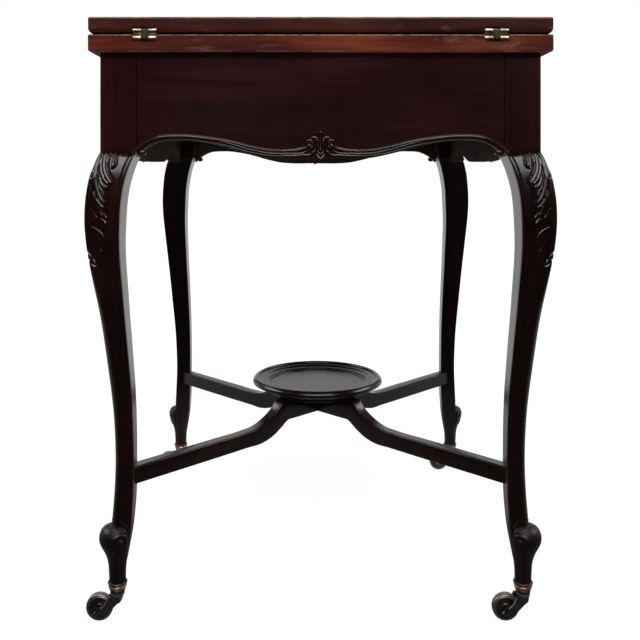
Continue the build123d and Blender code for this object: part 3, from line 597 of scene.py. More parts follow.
# Faint leaves lower on the knee, in a shallow panel
kneeVeins = [
    ([(8.8, 529.4), (12.2, 524)], (0.9, 1.4, 1.2), 0.9),
    ([(17.0, 512), (18.6, 506), (21.6, 500.6)], (0.9, 1.6, 1.3), 1.3),
    ([(22.8, 504), (26.6, 498.6)], (0.9, 1.5, 1.3), 1.1),
    ([(20.6, 497.4), (25.6, 492)], (1.0, 1.7, 1.4), 1.3),
    ([(8.2, 509), (11.2, 503.4), (14.8, 498.8)], (0.9, 1.5, 1.2), 0.8),
    ([(9.6, 487.4), (14.4, 484.6), (18.8, 480.9), (23.0, 475.9)], (1.1, 1.5, 1.3), 1.4),
    ([(14.2, 478), (16.4, 474), (17.8, 469.6)], (1.0, 1.7, 1.3), 1.1),
    ([(9.4, 476), (12.3, 469.6), (15.4, 463.1)], (1.0, 1.7, 1.3), 1.1),
    ([(15.0, 463), (17.6, 458)], (1.0, 1.6, 1.3), 0.9),
]
# The leaf that wraps the scroll of the foot, in four lobes
footLeaves = [
    ([(5.0, 122.0), (11.0, 122.6), (18.0, 119.2), (23.6, 113.4)], (1.0, 1.6, 1.1), 1.0),
    ([(23.6, 103.0), (22.6, 96.0), (18.6, 90.0), (13.4, 87.0)], (1.0, 1.6, 1.2), 1.2),
    ([(4.0, 90.5), (8.6, 88.0), (13.0, 87.0)], (0.9, 1.4, 1.2), 1.0),
    ([(12.6, 86.0), (11.4, 80.0), (10.6, 74.0)], (1.5, 1.1, 0.5), 0.9),
]


def leafRelief(across, height, leaves, lean=0.2):
    # the highest of all leaves at each point: stands * rise * sqrt(1 - q ^ 4) * (1 - lean * up), where rise
    # goes from 0.4 to 1 along the leaf, q is the distance from its middle line over half its width, and up
    # is the upward part of q, so that each leaf leans back a little; and how near the closest leaf is
    relief = np.zeros(np.broadcast(across, height).shape)
    nearest = np.full(relief.shape, 99.0)
    for points, widths, stands in leaves:
        path = smoothPath(points, 5 * len(points))
        place = np.linspace(0, 1, len(path))
        width = smoothLine([(0, widths[0]), (0.55, widths[1]), (1, widths[2])], place)
        lift = 0.4 + 0.6 * place**1.8
        for k in range(len(path) - 1):
            step = path[k + 1] - path[k]
            run = ((across - path[k, 0]) * step[0] + (height - path[k, 1]) * step[1]) / (step @ step)
            run = np.clip(run, 0, 1)
            offX = across - path[k, 0] - run * step[0]
            offZ = height - path[k, 1] - run * step[1]
            gap = np.hypot(offX, offZ)
            half = width[k] + run * (width[k + 1] - width[k])
            q = np.clip(gap / half, 0, 1)
            rise = lift[k] + run * (lift[k + 1] - lift[k])
            tall = stands * rise * (1 - lean * np.clip(offZ / half, -1, 1))
            relief = np.maximum(relief, tall * np.sqrt(np.clip(1 - q**4, 0, 1)))
            nearest = np.minimum(nearest, gap - half)
    return relief, nearest


kneeShape = {
    "ground": 2.5,  # how deep the ground lies round the leaves
    "begins": (436, 444),  # heights over which the ground is cut in
    "deepens": (500, 530),
    "plainCorner": ((3.0, 9.0), (545, 556), 458),  # none so near the outer corner, from here down to here
    "panel": (1.1, (3, 9, 25, 31), (454, 466, 522, 540)),  # depth, then its limits across and in height
    "proud": 0.9,  # how far leaves stand out of the leg's own face
    "postLine": 577.6,
    "bow": (4.0, 12.0, 38.0),  # how far the post's lower line bows down, and across which part
    "lip": (0.9, 0.7),  # depth and half width of the groove on that line
    "beaded": (528, 552),  # heights over which the bead of the inner edge begins
    "bead": (0.7, 2.9, 2.2),  # how far it stands out, its middle from the edge and half its width
    "grooves": ((1.2, 5.6, 0.6), (0.6, 0.4, 0.5)),  # depth, distance from the edge and half width
    "wornBelow": 577,
}


def kneeCarving(shape, across, height, width, flare):
    # the ground is cut back round the leaves, but not at the outer corner lower down, and a shallow panel
    # lies under the veins; the post keeps its face down to a bowed line, below which the knee stands out,
    # and a bead between two grooves runs down the inner edge
    relief, nearest = leafRelief(across, height, kneeLeaves)
    veins, _ = leafRelief(across, height, kneeVeins)
    bow, bowFrom, bowTo = shape["bow"]
    joint = shape["postLine"] - bow * smoothStep(bowFrom, bowTo, across)
    below = 1 - smoothStep(joint - 0.3, joint + 0.3, height)
    depth = shape["ground"] * (0.6 + 0.4 * smoothStep(*shape["deepens"], height))
    depth = depth * smoothStep(*shape["begins"], height)
    corner, cornerTop, cornerFoot = shape["plainCorner"]
    plain = (1 - smoothStep(*corner, across)) * (1 - smoothStep(*cornerTop, height)) * (height > cornerFoot)
    cut = depth * (1 - plain) * (1 - smoothStep(0.8, 3.6, nearest))
    panelDepth, panelAcross, panelHeight = shape["panel"]
    panel = plateau(panelHeight, height, plateau(panelAcross, across))
    cut = np.maximum(cut, panelDepth * panel)
    proud = shape["proud"] * smoothStep(3.5, 7.0, across)
    carved = np.minimum(np.maximum(relief, veins) - cut, proud)
    fromEdge = width - across
    stands, middle, half = shape["bead"]
    bead = stands * np.sqrt(np.clip(1 - ((fromEdge - middle) / half) ** 2, 0, 1))
    for cutIn, middle, half in shape["grooves"]:
        bead = bead - cutIn * np.exp(-(((fromEdge - middle) / half) ** 2))
    carved = carved + smoothStep(*shape["beaded"], height) * (fromEdge < 8) * bead
    cutIn, half = shape["lip"]
    lip = cutIn * np.exp(-(((height - joint) / half) ** 2))
    return carved * below - flare * (1 - below) - lip, relief


def legSurface(shape):
    # a square carried down the leg: its sides lie on the outer and inner line at each height, its corners
    # are rounded by their shares of its width, and the carving moves points along the face's normal
    inner, outer = shape["post"]
    footTop = shape["footOuterLine"][-1][0]
    carvedFrom, carvedTo = shape["carved"]
    heights = np.r_[
        np.arange(shape["footBottom"], footTop, shape["footStep"]),
        np.arange(footTop, carvedFrom, shape["plainStep"]),
        np.arange(carvedFrom, carvedTo, shape["kneeStep"]),
        np.linspace(carvedTo + 1, shape["postTop"], 14),
    ]
    z = heights[:, None]
    isPost = z >= shape["postBottom"]
    high = np.where(isPost, outer, smoothLine(shape["footOuterLine"][:-1] + shape["outerLine"], z))
    low = np.where(isPost, inner, smoothLine(shape["footInnerLine"][:-1] + shape["innerLine"], z))
    arris = (high - low) * smoothLine(shape["arrisShares"], z)
    rounding = (high - low) * smoothLine(shape["cornerShares"], z)
    side = np.linspace(0, 1, shape["faceColumns"])[None, :]
    few = np.linspace(0, 1, 7)[None, 1:-1]
    bend = np.linspace(0, math.pi / 2, 20)[None, 1:-1]
    turn = np.linspace(0, math.pi / 2, 8)[None, 1:-1]
    one = np.ones_like(side)
    bendX, bendY, turnX, turnY = np.cos(bend), np.sin(bend), np.cos(turn), np.sin(turn)
    lowIn, highIn, arrisIn = low + rounding, high - rounding, high - arris
    faceA = (high * one, lowIn + (arrisIn - lowIn) * side, one, 0 * side)
    cornerA = (arrisIn + arris * bendX, arrisIn + arris * bendY, bendX, bendY)
    faceB = (arrisIn + (lowIn - arrisIn) * side, high * one, 0 * side, one)
    cornerB = (lowIn - rounding * turnY, highIn + rounding * turnX, -turnY, turnX)
    faceC = (low + 0 * few, highIn + (lowIn - highIn) * few, 0 * few - 1, 0 * few)
    cornerC = (lowIn - rounding * turnX, lowIn - rounding * turnY, -turnX, -turnY)
    faceD = (lowIn + (highIn - lowIn) * few, low + 0 * few, 0 * few, 0 * few - 1)
    cornerD = (highIn + rounding * turnY, lowIn - rounding * turnX, turnY, -turnX)
    parts = [faceA, cornerA, faceB, cornerB, faceC, cornerC, faceD, cornerD]
    rows = len(heights)
    wide = [[np.broadcast_to(v, (rows, v.shape[1])) for v in part] for part in parts]
    x, y, normalX, normalY = (np.concatenate([part[k] for part in wide], 1) for k in range(4))
    height = np.broadcast_to(z, x.shape)
    onCorner = np.maximum(high - x, high - y)
    across = np.where(normalX > 0.99, high - y, np.where(normalY > 0.99, high - x, onCorner))
    outside = (normalX > -0.01) & (normalY > -0.01)
    carving, relief = kneeCarving(kneeShape, across, height, high - low, np.maximum(high - outer, 0))
    footRelief, _ = leafRelief(across, height, footLeaves)
    carving = np.where(outside & (height < shape["postBottom"]) & (height > carvedFrom), carving, 0)
    footRelief = np.where(outside & (height < shape["footCarved"]), footRelief, 0)
    move = carving + footRelief
    move = np.where(outside, np.minimum(move, shape["reach"] - np.maximum(x, y)), move)
    arrisWear, fadesOver = shape["arrisWear"]
    onArris = np.clip(1 - np.abs(x - y) / fadesOver, 0, 1) * (x > (high + low) / 2)
    onLeaves = (relief > 1.6) * outside * (height < kneeShape["wornBelow"]) * (height > carvedFrom)
    wear = shape["leafWear"] * onLeaves + arrisWear * onArris
    grid = np.stack([x + normalX * move, y + normalY * move, height], -1)
    return grid, np.clip(wear, 0, 1)


# The scroll that the leg ends in: height, reach outwards on the diagonal, half width
scrollShape = {
    "centre": swivelAxis,
    "inward": 7.0,
    "squareness": 2.4,
    "sections": [
        (54, 9.8, 9.8), (64, 10.2, 10.2), (70, 10.7, 10.7), (76, 11.9, 11.7), (82, 13.9, 13.3),
        (88, 16.8, 15.4), (94, 19.9, 17.4), (99, 21.7, 18.4), (104, 22.2, 18.6), (108.4, 21.6, 18.2),
        (112.3, 19.6, 17.0), (115.3, 16.4, 15.0), (117.4, 12.0, 11.8), (118.2, 7.4, 8.2),
    ],
    "eye": (9.5, 101.5),
    "leaves": [  # points are (reach on the diagonal, height), on both sides of the scroll
        ([(16.0, 112.4), (10.0, 115.0), (3.0, 114.4), (-2.4, 111.0)], (0.9, 1.3, 1.0), 1.4),
        ([(17.8, 103.2), (13.0, 108.4), (5.6, 111.0), (0.0, 108.4)], (1.0, 1.5, 1.1), 1.5),
        ([(6.4, 103.2), (7.4, 102.6)], (2.2, 2.4, 2.2), 1.9),
        ([(-4.0, 95.0), (1.5, 89.8), (7.0, 86.2), (11.5, 88.6), (15.0, 92.0)], (0.8, 1.3, 0.9), 1.4),
    ],
    "spiral": (5.4, 0.45, 0.8),  # pitch, depth and half width of the groove
    "spiralEnds": (10.5, 13.5),  # distance from the eye
}


def scrollSurface(shape):
    # level sections round the foot's axis: |u / reach| ^ p + |v / half width| ^ p = 1, u on the diagonal;
    # on both sides leaves stand out, and a spiral groove is cut where (distance from the eye - pitch *
    # turn) is a whole number of pitches
    rows = smoothPath(shape["sections"], 130)
    z, reach, wide = (rows[:, k : k + 1] for k in range(3))
    turn = fullTurn(120)
    p = 2 / shape["squareness"]
    u = powered(np.cos(turn), p)
    u = np.where(u > 0, reach * u, shape["inward"] * u)
    side = powered(np.sin(turn), p)
    awayU, awayZ = u - shape["eye"][0], z - shape["eye"][1]
    pitch, depth, half = shape["spiral"]
    away = np.hypot(awayU, awayZ)
    phase = away / pitch - np.arctan2(awayZ, awayU) / (2 * math.pi)
    off = (phase - np.round(phase)) * pitch
    onSide = smoothStep(0.55, 0.8, np.abs(side)) * (1 - smoothStep(*shape["spiralEnds"], away))
    groove = depth * np.exp(-((off / half) ** 2)) * onSide
    relief, _ = leafRelief(u, z, shape["leaves"])
    v = wide * side + np.sign(side) * (relief * smoothStep(0.35, 0.65, np.abs(side)) - groove)
    centre = shape["centre"]
    return np.stack([centre + (u + v) * diagonal, centre + (u - v) * diagonal, z + 0 * u], -1)


legGrid, legWear = legSurface(legShape)
scrollGrid = scrollSurface(scrollShape)
for turns, corner in enumerate(cornerNames):
    leg = [
        gridSolid(quarterTurned(legGrid, turns), wear=legWear),
        gridSolid(quarterTurned(scrollGrid, turns)),
    ]
    buildPiece(f"carvedLeg_{corner}", leg, upright, "frame", [f"leg_{corner}"], 50)
print("legs carved")


railShape = {
    "halfLength": postInner,
    "faceY": -postOuter,
    "backY": -246.3,
    "top": frameTop,
    "edge": [
        (0, 570.3), (44.9, 570.3), (65.0, 571.8), (86.4, 576.3), (127.9, 587.4), (171.6, 592.8),
        (201.9, 588.8), (214.2, 581.6), (224.3, 572.1),
    ],
    "coveLine": [(0, 2.8), (45, 2.7), (86, 1.5), (130, 0.9), (224.3, 0.9)],
    # each bead: distance from the rail's middle, height above the edge, half width, how far it stands out
    "beads": [
        [
            (0, 10.0, 1.5, 2.0), (45, 9.9, 1.5, 2.0), (86, 8.9, 1.5, 2.0),
            (110, 8.4, 1.6, 2.0), (135, 6.4, 1.9, 2.3), (224, 6.4, 1.9, 2.3),
        ],
        [
            (0, 6.4, 1.5, 1.8), (45, 6.3, 1.5, 1.8), (86, 5.7, 1.3, 1.7),
            (110, 5.9, 1.2, 1.5), (135, 5.8, 1.0, 1.0), (224, 5.8, 1.0, 1.0),
        ],
        [
            (0, 3.7, 1.1, 1.5), (45, 3.6, 1.1, 1.5), (86, 2.6, 1.1, 1.5),
            (110, 2.4, 1.0, 1.3), (135, 1.5, 0.8, 1.2), (224, 1.2, 0.7, 1.0),
        ],
    ],
    "beadFrom": 42.0,
    "jointGap": 0.4,  # between each end and its post
    "endFall": (1.1, 1.3),  # towards its ends the board falls back by the first over the second
    "coveDepth": 1.9,
    "footInset": (2.4, 0.8),  # of the lower side, from the face and from the back
    "trimWear": 0.12,
    "lug": (217.4, 577.6, 5.2, 3.8, 3.0),  # place, half width, half height and how far it stands out
}


def railBoard(shape):
    # the board's outline in section, carried along the rail with its foot on the lower edge: the front
    # corner there is hollowed, y = face + depth (1 - sqrt(rise / cove)), and the ends fall back at the joint
    reach = shape["halfLength"] - shape["jointGap"]
    x = np.r_[np.linspace(-1, -0.9, 30)[:-1], np.linspace(-0.9, 0.9, 150), np.linspace(0.9, 1, 30)[1:]]
    x = (x * reach)[:, None]
    low = smoothLine(shape["edge"], np.abs(x))
    cove = smoothLine(shape["coveLine"], np.abs(x))
    face, back, top = shape["faceY"], shape["backY"], shape["top"]
    up = np.linspace(0, 1, 7)[None, :]
    coveZ, coveY = low + cove * up, face + shape["coveDepth"] * (1 - np.sqrt(up)) + 0 * x
    wallZ = low + cove + (top - low - cove) * np.array([0.05, 0.3, 0.6, 0.9, 1.0])[None, :]
    wallY = np.full_like(wallZ, face)
    backZ = wallZ[:, ::-1]
    backY = np.full_like(backZ, back)
    faceInset, backInset = shape["footInset"]
    footY = np.linspace(back - backInset, face + faceInset, 6)[None, :] + 0 * x
    footZ = low + 0 * footY
    y = np.concatenate([coveY, wallY, backY, footY], 1)
    fall, over = shape["endFall"]
    y = y + fall * smoothStep(reach - over, reach, np.abs(x)) * (y < (face + back) / 2)
    z = np.concatenate([coveZ, wallZ, backZ, footZ], 1)
    bare = np.r_[np.zeros(12), -np.ones(11)][None, :]  # the back and the lower side take the second material
    return np.stack([x + 0 * y, y, z], -1), bare


def leaningBead(path, middle, half, proud, faceY):
    # a bead beside a path: it steps off the board at its upper side, leans out to its lip at three quarters
    # of its width and turns back under it
    step = pathDirections(path)
    under = np.linspace(0, math.pi / 2, 6)[None, :]
    s = np.concatenate([[[0.0, 0.03, 0.12, 0.3, 0.5, 0.66]], 0.74 + 0.26 * np.sin(under)], 1)
    out = np.concatenate([[[0.0, 0.34, 0.5, 0.66, 0.84, 0.96]], np.cos(under)], 1)
    t = middle[:, None] + half[:, None] * (1 - 2 * s)
    out = proud[:, None] * out
    t = np.concatenate([t, t[:, -1:], t[:, :1]], 1)
    out = np.concatenate([out, np.full((len(path), 2), -1.5)], 1)
    x = path[:, :1] + step[:, 1:] * t
    z = path[:, 1:] - step[:, :1] * t
    return np.stack([x, faceY - out, z], -1)


def beadedEdge(shape):
    # three beads along the lower edge, two of which run into one over the arch
    flat = shape["edge"][1]
    edge = [p for p in shape["edge"][::-1] if p[0] > flat[0]] + [flat, (shape["beadFrom"], flat[1])]
    path = smoothPath(edge, 240)
    solids = []
    for rows in shape["beads"]:
        rows = np.array(rows)
        middle, half, proud = (smoothLine(rows[:, [0, k]], path[:, 0]) for k in (1, 2, 3))
        solids.append(leaningBead(path, middle, half, proud, shape["faceY"]))
    return solids


def domedLug(x, z, halfWidth, halfHeight, proud, faceY):
    # a small oval dome: height proud * sqrt(1 - ring ^ 2), closed at the board
    ring = np.r_[np.sin(np.linspace(0.05, math.pi / 2, 12)), 1.0][:, None]
    turn = fullTurn(32)
    height = proud * np.sqrt(np.clip(1 - ring**2, 0, 1)) + 0 * turn
    height[-1] = -1.5
    x, z = x + halfWidth * ring * np.cos(turn), z + halfHeight * ring * np.sin(turn)
    return np.stack([x, faceY - height, z], -1)


# The cartouche, half of it: leaves as on the knee, but (distance from the middle, height)
cartoucheShape = {
    "halfWidth": 46.0,
    "top": 604.4,
    "lowerEdge": [(0, 568.4), (1.5, 568.9), (4, 570.9), (8, 571.6), (16, 571.6), (24, 570.8), (46, 570.6)],
    "step": 0.36,
    "tip": (1.2, (2, 4), (571, 573)),  # how far it stands out, and where it ends across and in height
    "leaves": [
        (
            [(44, 580.2), (36, 580.0), (30, 580.4), (25, 581.4), (20, 583.0), (15.8, 585.0), (13.2, 587.0)],
            (1.5, 2.5, 2.1),
            4.0,
        ),
        (
            [(44, 576.6), (36, 576.4), (29, 576.5), (23, 577.1), (18, 578.9), (14.0, 581.4), (11.0, 585.0)],
            (1.5, 1.5, 1.1),
            3.0,
        ),
        (
            [(44, 573.9), (36, 573.7), (28, 574.0), (21, 574.7), (15, 574.8), (11.4, 576.2), (8.8, 578.8)],
            (1.1, 1.7, 1.7),
            3.0,
        ),
        (
            [(17.8, 589.8), (15.4, 592.2), (11.6, 592.6), (10.0, 589.6), (9.6, 586.0), (11.4, 582.8)],
            (1.1, 1.4, 0.8),
            3.2,
        ),
        ([(14.4, 587.6), (12.8, 589.6)], (1.0, 1.3, 1.0), 2.4),
        (
            [(12.2, 593.8), (9.6, 596.2), (6.2, 596.0), (3.8, 593.0), (2.8, 588.6), (3.0, 583.6)],
            (1.2, 1.6, 0.7),
            3.6,
        ),
        ([(7.6, 592.4), (6.6, 587.6), (6.6, 582.6), (7.6, 578.6)], (0.8, 1.1, 0.8), 2.6),
        ([(2.6, 595.4), (3.4, 598.6), (2.2, 601.4), (0.0, 602.8)], (1.0, 1.3, 1.5), 3.8),
        ([(1.2, 596.0), (1.5, 598.2), (0.0, 599.6)], (0.5, 0.6, 0.6), 2.4),
        ([(0.0, 594.4), (0.4, 588.0), (0.3, 581.0)], (0.9, 1.0, 0.7), 2.8),
        ([(6.2, 577.6), (4.6, 575.4), (2.4, 572.6), (0.0, 570.2)], (1.0, 1.3, 1.3), 3.4),
        ([(4.2, 580.6), (2.4, 577.8), (0.0, 575.2)], (0.8, 1.0, 1.0), 3.0),
        ([(5.4, 576.8), (6.8, 580.2)], (0.9, 1.0, 0.8), 2.6),
    ],
}


def cartoucheRelief(shape, faceY):
    # one height field over the middle of the rail, the same to the left and right: between the leaves it
    # lies inside the board, and its lower rim follows the edge down to the tip
    reach, step = shape["halfWidth"], shape["step"]
    x = np.linspace(-reach, reach, int(2 * reach / step))[None, :]
    low = smoothLine(shape["lowerEdge"], np.abs(x))
    rise = np.linspace(0, 1, int((shape["top"] - 569) / step))[:, None]
    z = low + (shape["top"] - low) * rise
    relief, _ = leafRelief(np.abs(x) + 0 * z, z, shape["leaves"])
    stands, tipAcross, tipTop = shape["tip"]
    tip = stands * (1 - smoothStep(*tipAcross, np.abs(x))) * (1 - smoothStep(*tipTop, z))
    out = np.where(relief > 0.05, relief, np.where(tip > 0.1, tip, -0.5))
    y = faceY - np.concatenate([out, np.full_like(z, -1.6)], 1)
    return np.stack([thereAndBack(x + 0 * z), y, thereAndBack(z)], -1)


board, boardBare = railBoard(railShape)
trim = beadedEdge(railShape)
trim.append(domedLug(*railShape["lug"], railShape["faceY"]))
trim += [bead * [-1, 1, 1] for bead in trim]
trim.append(cartoucheRelief(cartoucheShape, railShape["faceY"]))
for turns, side in enumerate(sideNames):
    wood = boardX if turns % 2 == 0 else boardY
    rail = [gridSolid(quarterTurned(board, turns), wear=boardBare)]
    rail += [gridSolid(quarterTurned(part, turns), wear=railShape["trimWear"]) for part in trim]
    buildPiece(f"friezeRail_{side}", rail, wood, "frame", [f"rail_{side}"], 50, inside)
print("frieze made")


barShape = {
    "halfWidth": 8.5,
    "end": 335.0,
    "edgeRadius": 2.2,
    "edgeWear": 0.45,
    "halving": 201.5,
    "crossing": 8.6,  # as far as this one bar lies over the other, at the height of the halving
    "lower": [
        (0, 186), (55, 186), (70, 185.6), (85, 176.8), (99, 169.4), (120, 163.7), (150, 163.5),
        (340, 163.5),
    ],
    "upper": [
        (80, 217), (91.2, 205), (107.3, 195), (128.3, 187.4), (150, 185.6), (200, 185.5), (340, 185.5),
    ],
}


def barSurface(shape, keepsLower):
    # a rounded oblong carried along the diagonal between the lower and the upper line
    hub = [0, 4, shape["halfWidth"], shape["crossing"], 12, 30, 50]
    half = np.r_[hub, np.linspace(60, 165, 70), np.linspace(170, shape["end"], 24)]
    along = np.r_[-half[:0:-1], half][:, None]
    reach = np.abs(along)
    low = smoothLine(shape["lower"], reach)
    hubReach, hubTop = shape["upper"][0]
    high = np.where(reach < hubReach, hubTop, smoothLine(shape["upper"], reach))
    crossing = reach < shape["crossing"] - 0.05
    high = np.where(crossing & keepsLower, shape["halving"] - 0.02, high)
    low = np.where(crossing & (not keepsLower), shape["halving"] + 0.02, low)
    radius = shape["edgeRadius"]
    turn = np.linspace(0, math.pi / 2, 6)[None, :]
    wide = shape["halfWidth"] - radius
    quarters = []
    for across, upSign, start in ((1, 1, 0), (-1, 1, 1), (-1, -1, 2), (1, -1, 3)):
        angle = turn + start * math.pi / 2
        middle = high - radius if upSign > 0 else low + radius
        x = across * wide + radius * np.cos(angle) + 0 * along
        quarters.append((x, middle + radius * np.sin(angle)))
    side = np.concatenate([q[0] for q in quarters], 1)
    z = np.concatenate([q[1] for q in quarters], 1)
    edge = np.abs(np.tile(np.linspace(-1, 1, 6), 4))[None, :]
    grid = np.stack([(along - side) * diagonal, (along + side) * diagonal, z], -1)
    return grid, shape["edgeWear"] * (1 - edge) + 0 * along


for name, keepsLower, turns, wood in (("a", True, 0, barA), ("b", False, 1, barB)):
    bar, barWear = barSurface(barShape, keepsLower)
    solids = [gridSolid(quarterTurned(bar, turns), wear=barWear)]
    replaced = [f"stretcher_diagonal_{name}"]
    buildPiece(f"stretcherBar_{name}", solids, wood, "frame", replaced)

dishProfile = [
    (0.5, 217), (40, 217), (73, 217), (74, 217.6), (74.2, 219.2), (74, 220.4), (75.2, 220.9),
    (80, 223.2), (86, 226.0), (91, 227.7), (93.6, 228.1), (94.2, 229.1), (95.6, 229.0), (96.2, 229.9),
    (97.6, 229.7), (99.2, 230.6), (99.8, 232.2), (99.2, 234.6), (97.4, 237.0), (95.2, 238.5),
    (93.2, 239.0), (91.4, 238.5), (90.2, 237.2), (89.8, 235.7), (87.2, 235.2), (84.2, 233.9),
    (81.6, 232.2), (79.2, 231.9), (76.4, 231.9), (76.0, 230.7), (73.4, 230.4), (73.0, 229.1),
    (60, 229), (30, 229), (0.5, 229),
]


def denseProfile(profile, count=3):
    # more points between each two, on straight lines, so that turned edges keep their form
    profile = np.asarray(profile, float)
    at = np.linspace(0, len(profile) - 1, (len(profile) - 1) * count + 1)
    return np.stack([np.interp(at, np.arange(len(profile)), column) for column in profile.T], 1)


dish = gridSolid(turnedProfile(denseProfile(dishProfile), 160))
buildPiece("turnedDish", [dish], turnedWood, "frame", ["dish"], 30)
print("stretchers and dish made")


# radius and height, then 1 for bright copper or -1 for the dark flange and the ring it turns on
collarProfile = [
    (3.7, 35.0, -1), (8.5, 35.0, -1), (8.9, 35.5, -1), (9.3, 37.0, -1), (9.5, 38.2, -1),
    (9.0, 38.9, -1), (9.7, 39.5, 0.2), (10.4, 40.2, 0.3), (10.8, 41.0, 0.3), (10.8, 41.7, 0.3),
    (10.5, 42.0, 0.0), (11.1, 42.4, 0.7), (11.2, 43.0, 1), (10.8, 43.8, 0.8), (10.4, 44.5, 0.3),
    (10.4, 45.1, -1), (11.5, 45.6, -1), (12.0, 46.4, -1), (11.9, 47.3, -1), (11.3, 48.1, -1),
    (10.6, 48.4, -1), (9.6, 48.0, -1), (3.7, 36.6, -1),
]
collarRows = denseProfile(collarProfile, 2)
collars = []
for turns in range(4):
    ring = turnedProfile(collarRows[:, :2], 72, (swivelAxis, swivelAxis))
    collars.append(gridSolid(quarterTurned(ring, turns), looped=True, wear=collarRows[:, 2:]))
buildPiece("castorCollars", collars, copper, "frame", ["castor_sockets"], 60, iron)

castorShape = {
    "trail": 22.0,
    "axleHeight": 16.5,
    # height, middle, half length, half width and squareness of the sections
    "neck": [
        (34.9, 0.0, 8.5, 8.5, 2.0), (34.4, 0.0, 8.6, 8.6, 2.0), (32.6, 0.0, 8.6, 8.6, 2.0),
        (31.8, 0.2, 7.9, 8.4, 2.4), (30.0, 0.7, 6.3, 8.3, 3.0), (28.0, 1.0, 5.4, 8.5, 3.4),
        (26.0, 1.1, 4.8, 8.6, 3.4), (24.2, 1.1, 3.9, 8.4, 3.0), (23.0, 1.0, 2.7, 7.8, 2.4),
        (22.6, 1.0, 1.4, 6.4, 2.0),
    ],
    "freeEdge": [(12.4, 14.6), (11, 11.2), (8.8, 7.2), (5.6, 3.2), (1.6, 0.4), (-2.6, -2), (-6, -5.4)],
    "backEdge": [(25.2, 15), (25.9, 11.2), (23.4, 7), (18.2, 1.4), (12.2, -4.8), (4.8, -9.4), (-4.4, -9.2)],
    "cheek": (6.1, 8.6),  # inner and outer face
    "rows": 44,  # of a cheek and of its lip
    "lipRadius": 0.75,
    "neckWear": (0.5, 26, 31),  # the most of it, and the heights over which it comes in
    "cheekWear": 0.08,
    "treadWear": (0.35, 11.5, 13.0),  # the same, over the wheel's radius
    # radius and half width of the wheel's section, from the hub to the tread
    "wheel": [
        (2.1, 5.3), (3.6, 5.5), (5.0, 5.4), (5.6, 4.9), (5.9, 3.6), (7.4, 3.2), (9.8, 3.2),
        (11.0, 3.5), (11.5, 4.5), (12.0, 5.1), (12.8, 5.45), (13.7, 5.3), (14.1, 4.9), (14.7, 4.95),
        (15.6, 4.5), (16.2, 3.5), (16.45, 2.0), (16.5, 0.0),
    ],
}


def hornNeck(shape):
    # level sections from the round shoulder down to the heel: |x / a| ^ p + |y / b| ^ p = 1
    rows = denseProfile(shape["neck"], 2)
    turn = fullTurn(56)
    z, middle, a, b, p = (rows[:, k : k + 1] for k in range(5))
    x, y = middle + a * powered(np.cos(turn), 2 / p), b * powered(np.sin(turn), 2 / p)
    return np.stack([x, y, z + 0 * turn], -1)


def hornCheek(shape, sign):
    # a plate between its free edge and its back edge, a little domed, carried from the shoulder to the axle
    free, back = (smoothPath(shape[edge], shape["rows"]) for edge in ("freeEdge", "backEdge"))
    inner, outer = shape["cheek"]
    v = np.linspace(0, 1, 15)[None, :]
    dome = outer + 0.35 * np.sin(math.pi * v) - 0.5 * (2 * v - 1) ** 8
    face = free[:, None, :] + (back - free)[:, None, :] * v[..., None]
    y = np.concatenate([dome + 0 * face[..., 0], np.full(face.shape[:2], inner)], 1)
    x, z = thereAndBack(face[..., 0]), thereAndBack(face[..., 1])
    return np.stack([x - shape["trail"], sign * y, z + shape["axleHeight"]], -1)


def hornLip(shape, sign):
    # a thin round rim on the free edge of the cheek
    path = smoothPath(shape["freeEdge"], shape["rows"])
    step = pathDirections(path)
    turn = fullTurn(12)
    radius = shape["lipRadius"] * (1 - 0.5 * np.linspace(-1, 1, shape["rows"])[:, None] ** 6)
    x = path[:, :1] - step[:, 1:] * radius * np.cos(turn) - shape["trail"]
    z = path[:, 1:] + step[:, :1] * radius * np.cos(turn) + shape["axleHeight"]
    y = sign * (shape["cheek"][1] + radius * np.sin(turn)) + 0 * x
    return np.stack([x, y, z], -1)


def castorWheel(shape):
    # the section carried round the axle, out on one side and back on the other
    half = np.array(shape["wheel"], float)
    section = denseProfile(np.concatenate([half, half[-2::-1] * [1, -1]]), 2)
    turn = fullTurn(96)
    radius, width = section[:, :1], section[:, 1:]
    x = radius * np.cos(turn) - shape["trail"]
    z = radius * np.sin(turn) + shape["axleHeight"]
    return np.stack([x, width + 0 * turn, z], -1)


neck, wheel = hornNeck(castorShape), castorWheel(castorShape)
cheeks = [hornCheek(castorShape, sign) for sign in (-1, 1)]
lips = [hornLip(castorShape, sign) for sign in (-1, 1)]
fromAxle = np.hypot(wheel[..., 0] + castorShape["trail"], wheel[..., 2] - castorShape["axleHeight"])
mostNeck, *neckSpan = castorShape["neckWear"]
mostTread, *treadSpan = castorShape["treadWear"]
neckWear = mostNeck * smoothStep(*neckSpan, neck[..., 2])
treadWear = mostTread * smoothStep(*treadSpan, fromAxle)
for corner, (signX, signY) in zip(cornerNames, ((1, 1), (-1, 1), (-1, -1), (1, -1))):
    place = np.array([signX, signY, 0.0]) * swivelAxis
    horn = [gridSolid(neck + place, wear=neckWear)]
    horn += [gridSolid(cheek + place, wear=castorShape["cheekWear"]) for cheek in cheeks]
    horn += [gridSolid(lip + place, wear=1.0) for lip in lips]
    tread = [gridSolid(wheel + place, looped=True, wear=treadWear)]
    for kind, made, body, angle in (("Horn", horn, "castor", 50), ("Wheel", tread, "wheel", 35)):
        replaced = [f"castor_{kind.lower()}_{corner}"]
        buildPiece(f"castor{kind}_{corner}", made, iron, f"{body}_{corner}", replaced, angle)
print("castors made")


